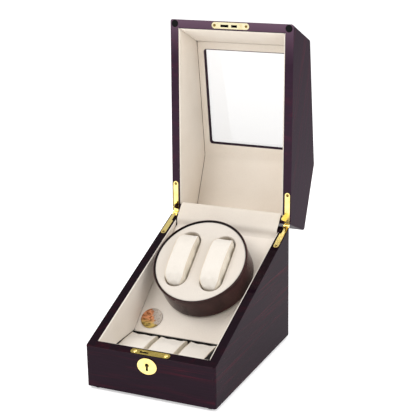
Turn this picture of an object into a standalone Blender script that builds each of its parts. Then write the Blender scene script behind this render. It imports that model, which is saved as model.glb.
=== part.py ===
"""Watch winder box: a lacquered case with a glazed hinged lid, a tilted turntable and a cushion tray.

Case coordinates: X runs across, Y from the front face to the back, Z up from the floor.
The lid stands fully open. Every length is in metres and every angle in radians.
"""

import math

import bmesh
import bpy
from mathutils import Matrix

# Case
WIDTH = 0.1800
DEPTH = 0.2525
FOOT_HEIGHT = 0.0040
FRONT_RIM = 0.0590
BACK_RIM = 0.1623
FRONT_TOP = 0.1307
CLOSED_HEIGHT = 0.2247
TOP_START = 0.1568
SIDE_WALL = 0.0117
END_WALL = 0.0107
LID_PANEL = 0.0090
FLOOR_REBATE = 0.0035
FLOOR_TOP = 0.0075
CORNER_RADIUS = 0.0030
EDGE_ROUND = 0.0009
FIT = 0.0003
LINING = 0.0018

# Lid and hinge
RIM_GAP = 0.0012
OPEN_ANGLE = math.radians(114.0)
HINGE_BEHIND = 0.0024
HINGE_X = 0.0847
LEAF_WIDTH = 0.0074
LEAF_THICK = 0.0015
LEAF_START = 0.2285
KNUCKLE_RADIUS = 0.0021
KNUCKLE_LENGTH = 0.0074
KNUCKLE_MIDDLE = 0.0030
PIN_RADIUS = 0.00065
FIN_X = 0.0820
FIN_THICK = 0.0016
FIN_RADIUS = 0.0170
FIN_BACK = 0.0056

# Window
WINDOW_HALF_WIDTH = 0.0660
WINDOW_START = 0.0198
WINDOW_END = 0.1602
WINDOW_CORNER = 0.0030
WINDOW_REVEAL = 0.0013
WINDOW_LINING = (0.0074, 0.1785)
PANE_LEDGE = 0.0035
PANE_THICK = 0.0028
PANE_REBATE = 0.0032

# Deck, tray and cushions
DECK_FRONT = 0.1040
DECK_FRONT_HEIGHT = 0.0410
DECK_ANGLE = math.radians(38.8)
DECK_THICK = 0.0030
TRAY_WALL = 0.0014
TRAY_DIVIDER = 0.0492
PILLOW_SIZE = (0.0355, 0.0860, 0.0345)
PILLOW_END_RADIUS = 0.0150
PILLOW_MIDDLE = -0.0139
PILLOW_PITCH = 0.0433
MEDALLION_RADIUS = 0.0153
MEDALLION_PLACE = (-0.0580, 0.0223)

# Turntable, measured along the axis from the deck's upper face
TURNTABLE_ALONG = 0.0973
DRUM_RADIUS = 0.0646
DRUM_INSIDE = 0.0618
DRUM_BOTTOM = 0.0040
DRUM_FLOOR_THICK = 0.0030
DRUM_TOP = 0.0375
RING_RADIUS = 0.0654
RING_INSIDE = 0.0629
RING_TOP = 0.0426
FACE_TOP = 0.0414
FACE_BOTTOM = 0.0382
WELL_X = 0.0254
WELL_SIZE = (0.0320, 0.0870)
WELL_CORNER = 0.0158
WELL_WALL = 0.0012
WELL_FLOOR = 0.0092
CUSHION_SIZE = (0.0296, 0.0790, 0.0430)
CUSHION_CORNER = 0.0145
CUSHION_END_RADIUS = 0.0190
CUSHION_BOTTOM = 0.0110

# Drive under the deck
BUSH_RADIUS = 0.0077
SHAFT_RADIUS = 0.0040
FLANGE_RADIUS = 0.0150
FLANGE_THICK = 0.0015
BUSH_FLANGE = 0.0035
PULLEY_TOP = -0.0080
PULLEY_BOTTOM = -0.0145
PULLEY_RADIUS = 0.0280
DRIVE_PULLEY_RADIUS = 0.0060
PULLEY_SPACING = 0.0580
BELT_RADIUS = 0.0011
BRACKET_TOP = -0.0170
BRACKET_THICK = 0.0015
BRACKET_HALF = 0.0240
BRACKET_FLANGE = 0.0340
BRACKET_LENGTH = 0.0320
BRACKET_HOLE = 0.0045
GEARBOX_RADIUS = 0.0160
GEARBOX_LENGTH = 0.0140
CAN_RADIUS = 0.0122
CAN_LENGTH = 0.0270
MOTOR_SHAFT_RADIUS = 0.0015

# Cloth flap over the hinge, as distance from the front and height
FLAP_START = (0.2411, 0.1512)
FLAP_BEND = (0.2411, 0.1593)
FLAP_END = (0.2557, 0.1760)
FLAP_THICK = 0.0005
FLAP_REACH = 0.0740

# Lock
LOCK_X = -0.0024
LOCK_Z = 0.0460
LOCK_Y = 0.0056
LOCK_PLATE = (0.0545, 0.0080, 0.0012)
STRIKE_PLATE = (0.0548, 0.0088, 0.0012)
PLATE_ALONG = 0.0058
PLATE_X = -0.0007
STRIKE_SLOT_SHIFT = 0.0005
SLOT_X = -0.0093
SLOT_LENGTH = 0.0117
SECOND_SLOT_X = 0.0048
SECOND_SLOT_LENGTH = 0.0086
SLOT_WIDTH = 0.0034
ESCUTCHEON = (0.0270, 0.0215, 0.0012)
LOCK_POCKET = (0.0215, 0.0033, 0.0300)
LOCK_CASE = (0.0200, 0.0029, 0.0315)
LOCK_CASE_TOP = 0.0572
LOCK_INSIDE = (0.0180, 0.0019, 0.0330)
KEY_WAY_RADIUS = 0.0045
CASE_KEY_RADIUS = 0.0034
CAM_THICK = 0.0026
CAM_HUB = 0.0026
CAM_LOBE = 0.0013
CAM_REACH = 0.0040
BOLT_THICK = 0.0024
BOLT_HALF = 0.0053
BOLT_TAIL = 0.0046
BOLT_SHOULDER = 0.0045
BOLT_BOTTOM = 0.0420
BOLT_TOP = 0.0600
STRIKE_POCKET = 0.0020
STRIKE_POCKET_TOP = 0.0740
BUMPER_X = 0.0834
BUMPER_RADIUS = 0.0047
BUMPER_SUNK = 0.0012
BUMPER_PROUD = 0.0007

# Screws
SCREW_HEAD = 0.0017
SCREW_SHANK = 0.0008
SCREW_LENGTH = 0.0060
SCREW_SUNK = 0.0001
SCREW_CONE = 0.0010
SCREW_CLEARANCE = 0.0004
DRIVER_SLOT = (0.0011, 0.0003)

# Feet
FOOT_RADIUS = 0.0063
FOOT_X = 0.0790
FOOT_INSET = 0.0110

# Rear control panel
PANEL_Z = 0.0420
PANEL_SIZE = (0.0740, 0.0360)
PANEL_THICK = 0.0022
PANEL_OPENING = (0.0640, 0.0270)
JACK_X = -0.0240
ROCKER_X = 0.0000
KNOB_X = 0.0240
CONTROL_BOARD = (0.0320, 0.0285, 0.0555)
BOARD_BLOCKS = (
    (-0.020, 0.040, 0.010, 0.010, 0.0022),
    (0.004, 0.045, 0.006, 0.006, 0.0090),
    (0.020, 0.036, 0.012, 0.005, 0.0030),
)
LEAD_ROUTE = (
    (-0.010, 0.2330, 0.0420), (-0.010, 0.2280, 0.0420), (-0.009, 0.2200, 0.0400),
    (-0.006, 0.2080, 0.0380), (-0.002, 0.1960, 0.0370), (0.0, 0.1860, 0.0365), (0.0, 0.1782, 0.0340),
)
LEAD_RADIUS = 0.0009
ROCKER_TILT = math.radians(9.0)
JACK_HOLE = 0.0058
KNOB_HOLE = 0.0035
ROCKER_HOLE = (0.0066, 0.0098)
ROCKER_HALF = 0.0084
ROCKER_WIDTH = 0.0124
KNOB_SHAFT = 0.0031
KNOB_HEIGHT = 0.0090

# The box of the open object is centred on X and Y
CENTRE_Y = 0.17488

# Worked-out values
RIM_ANGLE = math.atan2(BACK_RIM - FRONT_RIM, DEPTH)
SLOPE_ANGLE = math.atan2(CLOSED_HEIGHT - FRONT_TOP, TOP_START)
HINGE_Y = DEPTH + HINGE_BEHIND
HINGE_Z = BACK_RIM + RIM_GAP / 2
INSIDE_X = WIDTH / 2 - SIDE_WALL
INSIDE_BACK = DEPTH - END_WALL
RIM_LENGTH = math.hypot(DEPTH, BACK_RIM - FRONT_RIM)
UP_FROM_CURVE = Matrix(((0, 0, 1, 0), (1, 0, 0, 0), (0, 1, 0, 0), (0, 0, 0, 1)))


def rim_height(y):
    """Height of the base's rim plane at a distance y from the front face."""
    return FRONT_RIM + y * math.tan(RIM_ANGLE)


def slope_height(y, depth):
    """Height, y behind the front, of the plane lying depth below the lid's sloped face."""
    return FRONT_TOP + y * math.tan(SLOPE_ANGLE) - depth / math.cos(SLOPE_ANGLE)


def slope_reach(z, depth):
    """Distance behind the front at which the plane under the sloped face reaches the height z."""
    return (z - FRONT_TOP + depth / math.cos(SLOPE_ANGLE)) / math.tan(SLOPE_ANGLE)


# ---------------------------------------------------------------- helpers

def clear_scene():
    for obj in list(bpy.data.objects):
        bpy.data.objects.remove(obj, do_unlink=True)


def new_collection(name):
    collection = bpy.data.collections.new(name)
    bpy.context.scene.collection.children.link(collection)
    return collection


def move_to(obj, collection):
    for old in list(obj.users_collection):
        old.objects.unlink(obj)
    collection.objects.link(obj)


def material(name, colour, roughness, metallic=0.0, coat=0.0):
    made = bpy.data.materials.new(name)
    made.use_nodes = True
    shader = made.node_tree.nodes["Principled BSDF"]
    shader.inputs["Base Color"].default_value = (*colour, 1.0)
    shader.inputs["Roughness"].default_value = roughness
    shader.inputs["Metallic"].default_value = metallic
    shader.inputs["Coat Weight"].default_value = coat
    made.diffuse_color = (*colour, 1.0)
    return made


def frame(name, parent, location, rotation_x=0.0):
    empty = bpy.data.objects.new(name, None)
    PARTS.objects.link(empty)
    empty.parent = parent
    empty.location = location
    empty.rotation_euler = (rotation_x, 0.0, 0.0)
    return empty


def name_part(obj, name, parent, location, finish):
    """Names an object, gives it its material and places it under its parent."""
    obj.name = name
    obj.data.name = name
    obj.data.materials.clear()
    obj.data.materials.append(finish)
    move_to(obj, PARTS)
    obj.parent = parent
    obj.location = location
    return obj


def box(name, parent, low, high, finish):
    """A box between two corners, with its origin at its middle."""
    bpy.ops.mesh.primitive_cube_add(size=1.0)
    obj = bpy.context.object
    size = [b - a for a, b in zip(low, high)]
    middle = [(a + b) / 2 for a, b in zip(low, high)]
    obj.data.transform(Matrix.Diagonal((*size, 1.0)))
    return name_part(obj, name, parent, middle, finish)


def rod(name, parent, radius, length, location, axis, finish, sides=48):
    """A cylinder along X, Y or Z, with its origin at its middle."""
    bpy.ops.mesh.primitive_cylinder_add(vertices=sides, radius=radius, depth=length)
    obj = bpy.context.object
    if axis == "X":
        obj.data.transform(Matrix.Rotation(math.pi / 2, 4, "Y"))
    if axis == "Y":
        obj.data.transform(Matrix.Rotation(-math.pi / 2, 4, "X"))
    smooth(obj)
    return name_part(obj, name, parent, location, finish)


def smooth(obj):
    for face in obj.data.polygons:
        face.use_smooth = len(face.vertices) <= 4


def turned(name, parent, profile, location, finish, steps=64, closed=False):
    """A profile of (radius, height) points, outer side first and downwards, turned about Z."""
    mesh = bpy.data.meshes.new(name)
    edges = [(i, i + 1) for i in range(len(profile) - 1)]
    if closed:
        edges.append((len(profile) - 1, 0))
    mesh.from_pydata([(r, 0.0, z) for r, z in profile], edges, [])
    obj = bpy.data.objects.new(name, mesh)
    PARTS.objects.link(obj)
    screw = obj.modifiers.new("Turn", "SCREW")
    screw.steps = steps
    screw.render_steps = steps
    screw.use_merge_vertices = True
    screw.merge_threshold = 0.00001
    screw.use_smooth_shade = True
    return name_part(obj, name, parent, location, finish)


def to_mesh(obj):
    """Turns a curve object into a mesh object with welded caps."""
    bpy.context.view_layer.update()
    evaluated = obj.evaluated_get(bpy.context.evaluated_depsgraph_get())
    mesh = bpy.data.meshes.new_from_object(evaluated)
    welded = bmesh.new()
    welded.from_mesh(mesh)
    bmesh.ops.remove_doubles(welded, verts=welded.verts, dist=0.000005)
    bmesh.ops.recalc_face_normals(welded, faces=welded.faces)
    welded.to_mesh(mesh)
    welded.free()
    made = bpy.data.objects.new(obj.name, mesh)
    PARTS.objects.link(made)
    made.matrix_world = obj.matrix_world
    bpy.data.objects.remove(obj, do_unlink=True)
    return made


def flat_solid(name, parent, outlines, thickness, location, finish, plane="XY"):
    """Flat outlines, the inner ones being holes, with the given thickness about their plane."""
    curve = bpy.data.curves.new(name, "CURVE")
    curve.dimensions = "2D"
    curve.fill_mode = "BOTH"
    curve.extrude = thickness / 2
    for outline in outlines:
        spline = curve.splines.new("POLY")
        spline.points.add(len(outline) - 1)
        spline.use_cyclic_u = True
        for point, (x, y) in zip(spline.points, outline):
            point.co = (x, y, 0.0, 1.0)
    obj = bpy.data.objects.new(name, curve)
    PARTS.objects.link(obj)
    obj = to_mesh(obj)
    if plane == "YZ":
        obj.data.transform(UP_FROM_CURVE)
    if plane == "XZ":
        obj.data.transform(Matrix.Rotation(math.pi / 2, 4, "X"))
    return name_part(obj, name, parent, location, finish)


def tube(name, parent, points, radius, finish, cyclic=False, detail=2):
    """A round wire or belt along a list of points."""
    curve = bpy.data.curves.new(name, "CURVE")
    curve.dimensions = "3D"
    curve.bevel_depth = radius
    curve.bevel_resolution = detail
    curve.use_fill_caps = not cyclic
    spline = curve.splines.new("POLY")
    spline.points.add(len(points) - 1)
    spline.use_cyclic_u = cyclic
    for point, place in zip(spline.points, points):
        point.co = (*place, 1.0)
    obj = bpy.data.objects.new(name, curve)
    PARTS.objects.link(obj)
    return name_part(to_mesh(obj), name, parent, (0.0, 0.0, 0.0), finish)


def arc(cx, cy, radius, start, end, steps):
    """Points on an arc, both ends included, for angles in degrees."""
    angles = [math.radians(start + (end - start) * i / steps) for i in range(steps + 1)]
    return [(cx + radius * math.cos(a), cy + radius * math.sin(a)) for a in angles]


def rounded_rectangle(width, height, radius, cx=0.0, cy=0.0, steps=6):
    x = width / 2 - radius
    y = height / 2 - radius
    corners = ((x, y, 0), (-x, y, 90), (-x, -y, 180), (x, -y, 270))
    return [p for a, b, turn in corners for p in arc(cx + a, cy + b, radius, turn, turn + 90, steps)]


def stadium(length, width, cx=0.0, cy=0.0):
    """A bar with round ends, lying along X."""
    reach = (length - width) / 2
    right = arc(cx + reach, cy, width / 2, -90, 90, 10)
    left = arc(cx - reach, cy, width / 2, 90, 270, 10)
    return right + left


def boolean(target, tool, operation="DIFFERENCE"):
    """Cuts, joins or intersects, and files the tool with the cutters."""
    step = target.modifiers.new(operation.title(), "BOOLEAN")
    step.operation = operation
    step.solver = "EXACT"
    step.object = tool
    if PARTS in tool.users_collection:
        move_to(tool, CUTTERS)
        tool.hide_render = True
        tool.display_type = "WIRE"
        tool.name = "tool_" + tool.name


def round_edges(obj, width, segments=2, angle=25.0):
    bevel = obj.modifiers.new("Edges", "BEVEL")
    bevel.width = width
    bevel.segments = segments
    bevel.limit_method = "ANGLE"
    bevel.angle_limit = math.radians(angle)


# ---------------------------------------------------------------- case

def outer_column(parent):
    """The case's plan with its rounded corners, taller than the case."""
    plan = rounded_rectangle(WIDTH, DEPTH, CORNER_RADIUS, 0.0, DEPTH / 2)
    return flat_solid("column", parent, [plan], 0.30, (0, 0, 0.12), LACQUER)


def lock_box(name, size, top, finish):
    """An upright box round the lock, from its half width, half depth and bottom height."""
    half, deep, bottom = size
    low = (LOCK_X - half, LOCK_Y - deep, bottom)
    return box(name, BASE, low, (LOCK_X + half, LOCK_Y + deep, top), finish)


def base_carcass():
    side = [(0, FOOT_HEIGHT), (DEPTH, FOOT_HEIGHT), (DEPTH, BACK_RIM), (0, FRONT_RIM)]
    carcass = flat_solid("base_carcass", BASE, [side], WIDTH + 0.002, (0, 0, 0), LACQUER, "YZ")
    boolean(carcass, outer_column(BASE), "INTERSECT")
    cavity = box("cavity", BASE, (-INSIDE_X, END_WALL, -0.01), (INSIDE_X, INSIDE_BACK, 0.30), LACQUER)
    boolean(carcass, cavity)
    reach = INSIDE_X + FLOOR_REBATE
    low = (-reach, END_WALL - FLOOR_REBATE, -0.01)
    high = (reach, INSIDE_BACK + FLOOR_REBATE, FLOOR_TOP + FIT)
    boolean(carcass, box("floor_rebate", BASE, low, high, LACQUER))
    round_edges(carcass, EDGE_ROUND)
    half = PANEL_OPENING[0] / 2
    low = (-half, INSIDE_BACK - 0.01, PANEL_Z - PANEL_OPENING[1] / 2)
    high = (half, DEPTH + 0.01, PANEL_Z + PANEL_OPENING[1] / 2)
    boolean(carcass, box("panel_opening", BASE, low, high, LACQUER))
    boolean(carcass, lock_box("lock_pocket", LOCK_POCKET, 0.08, LACQUER))
    boolean(carcass, rod("key_way", BASE, KEY_WAY_RADIUS, 0.010, (LOCK_X, -0.002, LOCK_Z), "Y", LACQUER, 24))
    return carcass


def base_floor():
    reach = INSIDE_X + FLOOR_REBATE - FIT
    low = (-reach, END_WALL - FLOOR_REBATE + FIT, FOOT_HEIGHT + 0.0002)
    high = (reach, INSIDE_BACK + FLOOR_REBATE - FIT, FLOOR_TOP)
    round_edges(box("base_floor", BASE, low, high, BOARD), 0.0003, 1)


def feet():
    top = FOOT_HEIGHT - FIT
    profile = [(0.0, top), (FOOT_RADIUS, top), (FOOT_RADIUS, 0.0022)]
    profile += [(FOOT_RADIUS - 0.0006, 0.0009), (FOOT_RADIUS - 0.0016, 0.0), (0.0, 0.0)]
    for side, x in (("left", -FOOT_X), ("right", FOOT_X)):
        for end, y in (("front", FOOT_INSET), ("back", DEPTH - FOOT_INSET)):
            turned(f"foot_{end}_{side}", BASE, profile, (x, y, 0), RUBBER, 32)


def base_lining():
    """Padded boards on the two sides and the front, above the deck and the tray."""
    front = END_WALL + FIT
    back = INSIDE_BACK - FIT
    ledge = DECK_FRONT_HEIGHT + 0.0004
    deck_rise = (back - DECK_FRONT) * math.tan(DECK_ANGLE)
    side = [(front, ledge), (DECK_FRONT, ledge), (back, ledge + deck_rise)]
    side += [(back, rim_height(back) - 0.0004), (front, rim_height(front) - 0.0004)]
    x = INSIDE_X - FIT - LINING / 2
    lining = flat_solid("base_lining", BASE, [side], LINING, (-x, 0, 0), CREAM, "YZ")
    other = flat_solid("lining_right", BASE, [side], LINING, (x, 0, 0), CREAM, "YZ")
    reach = INSIDE_X - FIT - 0.0009
    low = (-reach, front, ledge)
    high = (reach, front + LINING, rim_height(front) - 0.0004)
    boolean(lining, box("lining_front", BASE, low, high, CREAM), "UNION")
    boolean(lining, other, "UNION")


def pillow_tray():
    x = INSIDE_X - 0.0004
    low = (-x, END_WALL + 0.0004, FLOOR_TOP + 0.0004)
    high = (x, DECK_FRONT - 0.0005, DECK_FRONT_HEIGHT)
    tray = box("pillow_tray", BASE, low, high, FLOCK)
    low = [a + TRAY_WALL for a in low]
    high = (high[0] - TRAY_WALL, high[1] - TRAY_WALL, high[2] + 0.01)
    boolean(tray, box("pillow_bay", BASE, low, (TRAY_DIVIDER, *high[1:]), FLOCK))
    low = (TRAY_DIVIDER + TRAY_WALL, *low[1:])
    boolean(tray, box("spare_bay", BASE, low, high, FLOCK))


def storage_pillows():
    width, length, height = PILLOW_SIZE
    bottom = FLOOR_TOP + 0.0004 + TRAY_WALL + FIT
    front = END_WALL + 0.0004 + TRAY_WALL + 0.0022
    outline = rounded_rectangle(length, height, PILLOW_END_RADIUS)
    for side, turn in (("left", -1), ("centre", 0), ("right", 1)):
        place = (PILLOW_MIDDLE + turn * PILLOW_PITCH, front + length / 2, bottom + height / 2)
        pillow = flat_solid(f"storage_pillow_{side}", BASE, [outline], width, place, CREAM, "YZ")
        round_edges(pillow, 0.0020, 2, 40)


# ---------------------------------------------------------------- deck and turntable

def deck_panel():
    length = (INSIDE_BACK - 0.0004 - DECK_THICK * math.sin(DECK_ANGLE) - DECK_FRONT) / math.cos(DECK_ANGLE)
    x = INSIDE_X - 0.0004
    deck = box("deck_panel", DECK, (-x, FIT, -DECK_THICK), (x, length, 0), CREAM)
    round_edges(deck, 0.0006)
    hole = rod("bush_hole", DECK, BUSH_RADIUS + FIT, 0.02, (0, TURNTABLE_ALONG, 0), "Z", CREAM)
    boolean(deck, hole)


def medallion():
    x, y = MEDALLION_PLACE
    disc = rod("medallion", DECK, MEDALLION_RADIUS, 0.0008, (x, y, 0.0007), "Z", COPPER, 48)
    round_edges(disc, 0.0002, 1)


def drum():
    floor_top = DRUM_BOTTOM + DRUM_FLOOR_THICK
    profile = [(DRUM_INSIDE, DRUM_TOP), (DRUM_RADIUS, DRUM_TOP), (DRUM_RADIUS, DRUM_BOTTOM)]
    profile += [(0.0, DRUM_BOTTOM), (0.0, floor_top), (DRUM_INSIDE, floor_top)]
    body = turned("turntable_drum", SPIN, profile, (0, 0, 0), DRUM_BROWN, 96, True)
    round_edges(body, 0.0005, 1, 40)


def ring():
    low = DRUM_TOP + FIT
    lip = 0.0006
    profile = [(RING_RADIUS - lip, RING_TOP), (RING_RADIUS, RING_TOP - lip), (RING_RADIUS, low)]
    profile += [(RING_INSIDE, low), (RING_INSIDE, RING_TOP - lip), (RING_INSIDE + lip, RING_TOP)]
    turned("turntable_ring", SPIN, profile, (0, 0, 0), GLOSS_BLACK, 96, True)


def well_outlines(grow):
    width = WELL_SIZE[0] + 2 * grow
    length = WELL_SIZE[1] + 2 * grow
    return [rounded_rectangle(width, length, WELL_CORNER + grow, x, 0.0, 8) for x in (-WELL_X, WELL_X)]


def circle(radius, steps=96):
    return arc(0.0, 0.0, radius, 0.0, 360.0 - 360.0 / steps, steps - 1)


def face_and_wells():
    plate = [circle(RING_INSIDE - FIT)] + well_outlines(0.0)
    thick = FACE_TOP - FACE_BOTTOM
    flat_solid("turntable_face", SPIN, plate, thick, (0, 0, FACE_TOP - thick / 2), CREAM)
    place = (0, 0, DRUM_TOP - WELL_WALL / 2)
    rim = flat_solid("turntable_wells", SPIN, [circle(DRUM_INSIDE - 0.0004)], WELL_WALL, place, CREAM)
    depth = DRUM_TOP - WELL_FLOOR
    cups = flat_solid("cups", SPIN, well_outlines(WELL_WALL), depth, (0, 0, DRUM_TOP - depth / 2), CREAM)
    boolean(rim, cups, "UNION")
    high = FACE_TOP + 0.01
    low = WELL_FLOOR + WELL_WALL
    place = (0, 0, (high + low) / 2)
    hollow = flat_solid("cup_hollows", SPIN, well_outlines(0.0), high - low, place, CREAM)
    boolean(rim, hollow)


def winder_cushions():
    width, length, height = CUSHION_SIZE
    plan = rounded_rectangle(width, length, CUSHION_CORNER, steps=8)
    outline = rounded_rectangle(length, height, CUSHION_END_RADIUS, steps=8)
    for side, x in (("left", -WELL_X), ("right", WELL_X)):
        place = (x, 0, CUSHION_BOTTOM + height / 2)
        cushion = flat_solid(f"winder_cushion_{side}", SPIN, [outline], width, place, CREAM, "YZ")
        boolean(cushion, flat_solid("cushion_plan", SPIN, [plan], 2 * height, place, CREAM), "INTERSECT")
        round_edges(cushion, 0.0015, 2, 40)


def shaft_and_bush():
    top = DRUM_BOTTOM - FIT
    flange = top - FLANGE_THICK
    end = PULLEY_BOTTOM - FLANGE_THICK
    profile = [(0.0, top), (FLANGE_RADIUS, top), (FLANGE_RADIUS, flange), (SHAFT_RADIUS, flange)]
    profile += [(SHAFT_RADIUS, end), (0.0, end)]
    turned("turntable_shaft", SPIN, profile, (0, 0, 0), STEEL, 48)
    bore = SHAFT_RADIUS + FIT
    flange = BUSH_RADIUS + BUSH_FLANGE
    low = PULLEY_TOP + 0.0005
    profile = [(bore, FLANGE_THICK), (flange, FLANGE_THICK), (flange, FIT), (BUSH_RADIUS, FIT)]
    profile += [(BUSH_RADIUS, low), (bore, low)]
    turned("deck_bush", DECK, profile, (0, TURNTABLE_ALONG, 0), NYLON, 48, True)


def pulley(name, parent, radius, bore, place):
    """A grooved wheel; the groove is 5 mm wide at the rim and 3 mm at the bottom."""
    middle = (PULLEY_TOP + PULLEY_BOTTOM) / 2
    profile = [(bore, PULLEY_TOP), (radius, PULLEY_TOP), (radius, middle + 0.0025)]
    profile += [(radius - 0.002, middle + 0.0015), (radius - 0.002, middle - 0.0015)]
    profile += [(radius, middle - 0.0025), (radius, PULLEY_BOTTOM), (bore, PULLEY_BOTTOM)]
    return turned(name, parent, profile, place, NYLON, 64, True)


def drive():
    pulley("turntable_pulley", SPIN, PULLEY_RADIUS, SHAFT_RADIUS + FIT, (0, 0, 0))
    motor_y = TURNTABLE_ALONG - PULLEY_SPACING
    pulley("drive_pulley", DECK, DRIVE_PULLEY_RADIUS, MOTOR_SHAFT_RADIUS + FIT, (0, motor_y, 0))
    large = PULLEY_RADIUS - 0.0005
    small = DRIVE_PULLEY_RADIUS - 0.0005
    lean = math.degrees(math.asin((large - small) / PULLEY_SPACING))
    path = arc(0, TURNTABLE_ALONG, large, -lean, 180 + lean, 40)
    path += arc(0, motor_y, small, 180 + lean, 360 - lean, 14)
    height = (PULLEY_TOP + PULLEY_BOTTOM) / 2
    tube("drive_belt", DECK, [(x, y, height) for x, y in path], BELT_RADIUS, RUBBER, True)


def motor():
    y = TURNTABLE_ALONG - PULLEY_SPACING
    top = -DECK_THICK - FIT
    t = BRACKET_THICK
    low = BRACKET_TOP - t
    wall = BRACKET_HALF - t
    half = [(BRACKET_FLANGE, top), (BRACKET_FLANGE, top - t), (BRACKET_HALF, top - t), (BRACKET_HALF, low)]
    hat = half + [(-x, z) for x, z in reversed(half)]
    hat += [(-wall, top), (-wall, BRACKET_TOP), (wall, BRACKET_TOP), (wall, top)]
    bracket = flat_solid("motor_bracket", DECK, [hat], BRACKET_LENGTH, (0, y, 0), STEEL, "XZ")
    boolean(bracket, rod("shaft_hole", DECK, BRACKET_HOLE, 0.01, (0, y, BRACKET_TOP), "Z", STEEL, 32))
    box_top = low - FIT
    box_low = box_top - GEARBOX_LENGTH
    shaft_top = PULLEY_TOP + 0.001
    profile = [(0.0, shaft_top), (MOTOR_SHAFT_RADIUS, shaft_top), (MOTOR_SHAFT_RADIUS, box_top)]
    profile += [(GEARBOX_RADIUS, box_top), (GEARBOX_RADIUS, box_low), (0.0, box_low)]
    turned("motor_gearbox", DECK, profile, (0, y, 0), STEEL, 48)
    can_top = box_low - FIT
    can = rod("motor_can", DECK, CAN_RADIUS, CAN_LENGTH, (0, y, can_top - CAN_LENGTH / 2), "Z", STEEL)
    round_edges(can, 0.0012, 2, 40)


# ---------------------------------------------------------------- lock

def plate_slot(x, length, parent, along, finish):
    low = (x - length / 2, along - SLOT_WIDTH / 2, -0.02)
    return box("slot", parent, low, (x + length / 2, along + SLOT_WIDTH / 2, 0.02), finish)


def lock(carcass):
    length, width, thick = LOCK_PLATE
    wider = stadium(length + 2 * FIT, width + 2 * FIT, PLATE_X, PLATE_ALONG)
    recess = flat_solid("lock_recess", RIM, [wider], 0.01, (0, 0, 0.005 - thick - FIT), LACQUER)
    boolean(carcass, recess)
    outline = stadium(length, width, PLATE_X, PLATE_ALONG)
    plate = flat_solid("lock_plate", RIM, [outline], thick, (0, 0, -thick / 2), BRASS)
    boolean(plate, plate_slot(SLOT_X, SLOT_LENGTH, RIM, PLATE_ALONG, BRASS))
    case = lock_box("lock_case", LOCK_CASE, LOCK_CASE_TOP, STEEL)
    boolean(case, lock_box("case_inside", LOCK_INSIDE, 0.07, STEEL))
    key_hole = (LOCK_X, LOCK_Y - LOCK_CASE[1], LOCK_Z)
    boolean(case, rod("case_key_hole", BASE, CASE_KEY_RADIUS, 0.0035, key_hole, "Y", STEEL, 24))
    cam = arc(0, 0, CAM_HUB, -60, 60, 10) + [(CAM_LOBE, CAM_REACH), (-CAM_LOBE, CAM_REACH)]
    cam += arc(0, 0, CAM_HUB, 120, 240, 10) + [(-CAM_LOBE, -CAM_REACH), (CAM_LOBE, -CAM_REACH)]
    flat_solid("lock_cam", BASE, [cam], CAM_THICK, (LOCK_X, LOCK_Y, LOCK_Z), BRASS, "XZ")
    left = SLOT_X - BOLT_HALF
    right = SLOT_X + BOLT_HALF
    shoulder = LOCK_Z + BOLT_SHOULDER
    tail = LOCK_X - BOLT_TAIL
    bolt = [(left, BOLT_TOP), (left, BOLT_BOTTOM), (tail, BOLT_BOTTOM)]
    bolt += [(tail, shoulder), (right, shoulder), (right, BOLT_TOP)]
    flat_solid("lock_bolt", BASE, [bolt], BOLT_THICK, (0, LOCK_Y, 0), STEEL, "XZ")


def escutcheon():
    width, height, thick = ESCUTCHEON
    steps = 40
    turns = [2 * math.pi * i / steps for i in range(steps)]
    oval = [(width / 2 * math.cos(a), height / 2 * math.sin(a)) for a in turns]
    key = arc(0, 0.0014, 0.0027, -60, 240, 16) + [(-0.0016, -0.0060), (0.0016, -0.0060)]
    flat_solid("escutcheon", BASE, [oval, key], thick, (LOCK_X, -FIT - thick / 2, LOCK_Z), BRASS, "XZ")


# ---------------------------------------------------------------- hinges

def leaf_outline(x):
    """The flat of a leaf in its rim's plane: round at the front end, square at the back."""
    half = LEAF_WIDTH / 2
    end = RIM_LENGTH - 0.0002
    tip = arc(x, LEAF_START + half, half, 180, 360, 12)
    return tip + [(x + half, end), (x - half, end)]


def hinge_leaf(name, frame_now, x, side, finish):
    """A leaf with its knuckles; side is -1 for the base's leaf and 1 for the lid's."""
    leaf = flat_solid(name, frame_now, [leaf_outline(x)], LEAF_THICK, (0, 0, side * LEAF_THICK / 2), finish)
    owner = BASE if side < 0 else LID
    half = KNUCKLE_LENGTH / 2
    inner = KNUCKLE_MIDDLE / 2
    spans = ((-half, -inner - FIT), (inner + FIT, half)) if side < 0 else ((-inner, inner),)
    for start, end in spans:
        middle = x + (start + end) / 2
        ear = rod("ear", owner, KNUCKLE_RADIUS, end - start, (middle, HINGE_Y, HINGE_Z), "X", finish, 32)
        low = (middle - (end - start) / 2, RIM_LENGTH - 0.0012, min(0, side * LEAF_THICK))
        high = (middle + (end - start) / 2, RIM_LENGTH + 0.0016, max(0, side * LEAF_THICK))
        boolean(leaf, box("strap", frame_now, low, high, finish), "UNION")
        boolean(leaf, ear, "UNION")
    bore = rod("bore", owner, PIN_RADIUS + FIT, 0.02, (x, HINGE_Y, HINGE_Z), "X", finish, 24)
    boolean(leaf, bore)
    return leaf


def leaf_recess(frame_now, side):
    """A cutter that lets both leaves into a rim."""
    half = LEAF_WIDTH / 2 + FIT
    outlines = []
    for x in (-HINGE_X, HINGE_X):
        tip = arc(x, LEAF_START + half - FIT, half, 180, 360, 12)
        outlines.append(tip + [(x + half, RIM_LENGTH + 0.01), (x - half, RIM_LENGTH + 0.01)])
    thick = 0.01
    return flat_solid("leaf_recess", frame_now, outlines, thick,
                      (0, 0, side * (LEAF_THICK + FIT - thick / 2)), LACQUER)


def knuckle_scoop(owner, x):
    """Clearance round the hinge barrel in the back edge of the case."""
    place = (x, HINGE_Y, HINGE_Z)
    return rod("scoop", owner, KNUCKLE_RADIUS + 0.0006, KNUCKLE_LENGTH + 0.0012, place, "X", LACQUER, 32)


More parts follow.
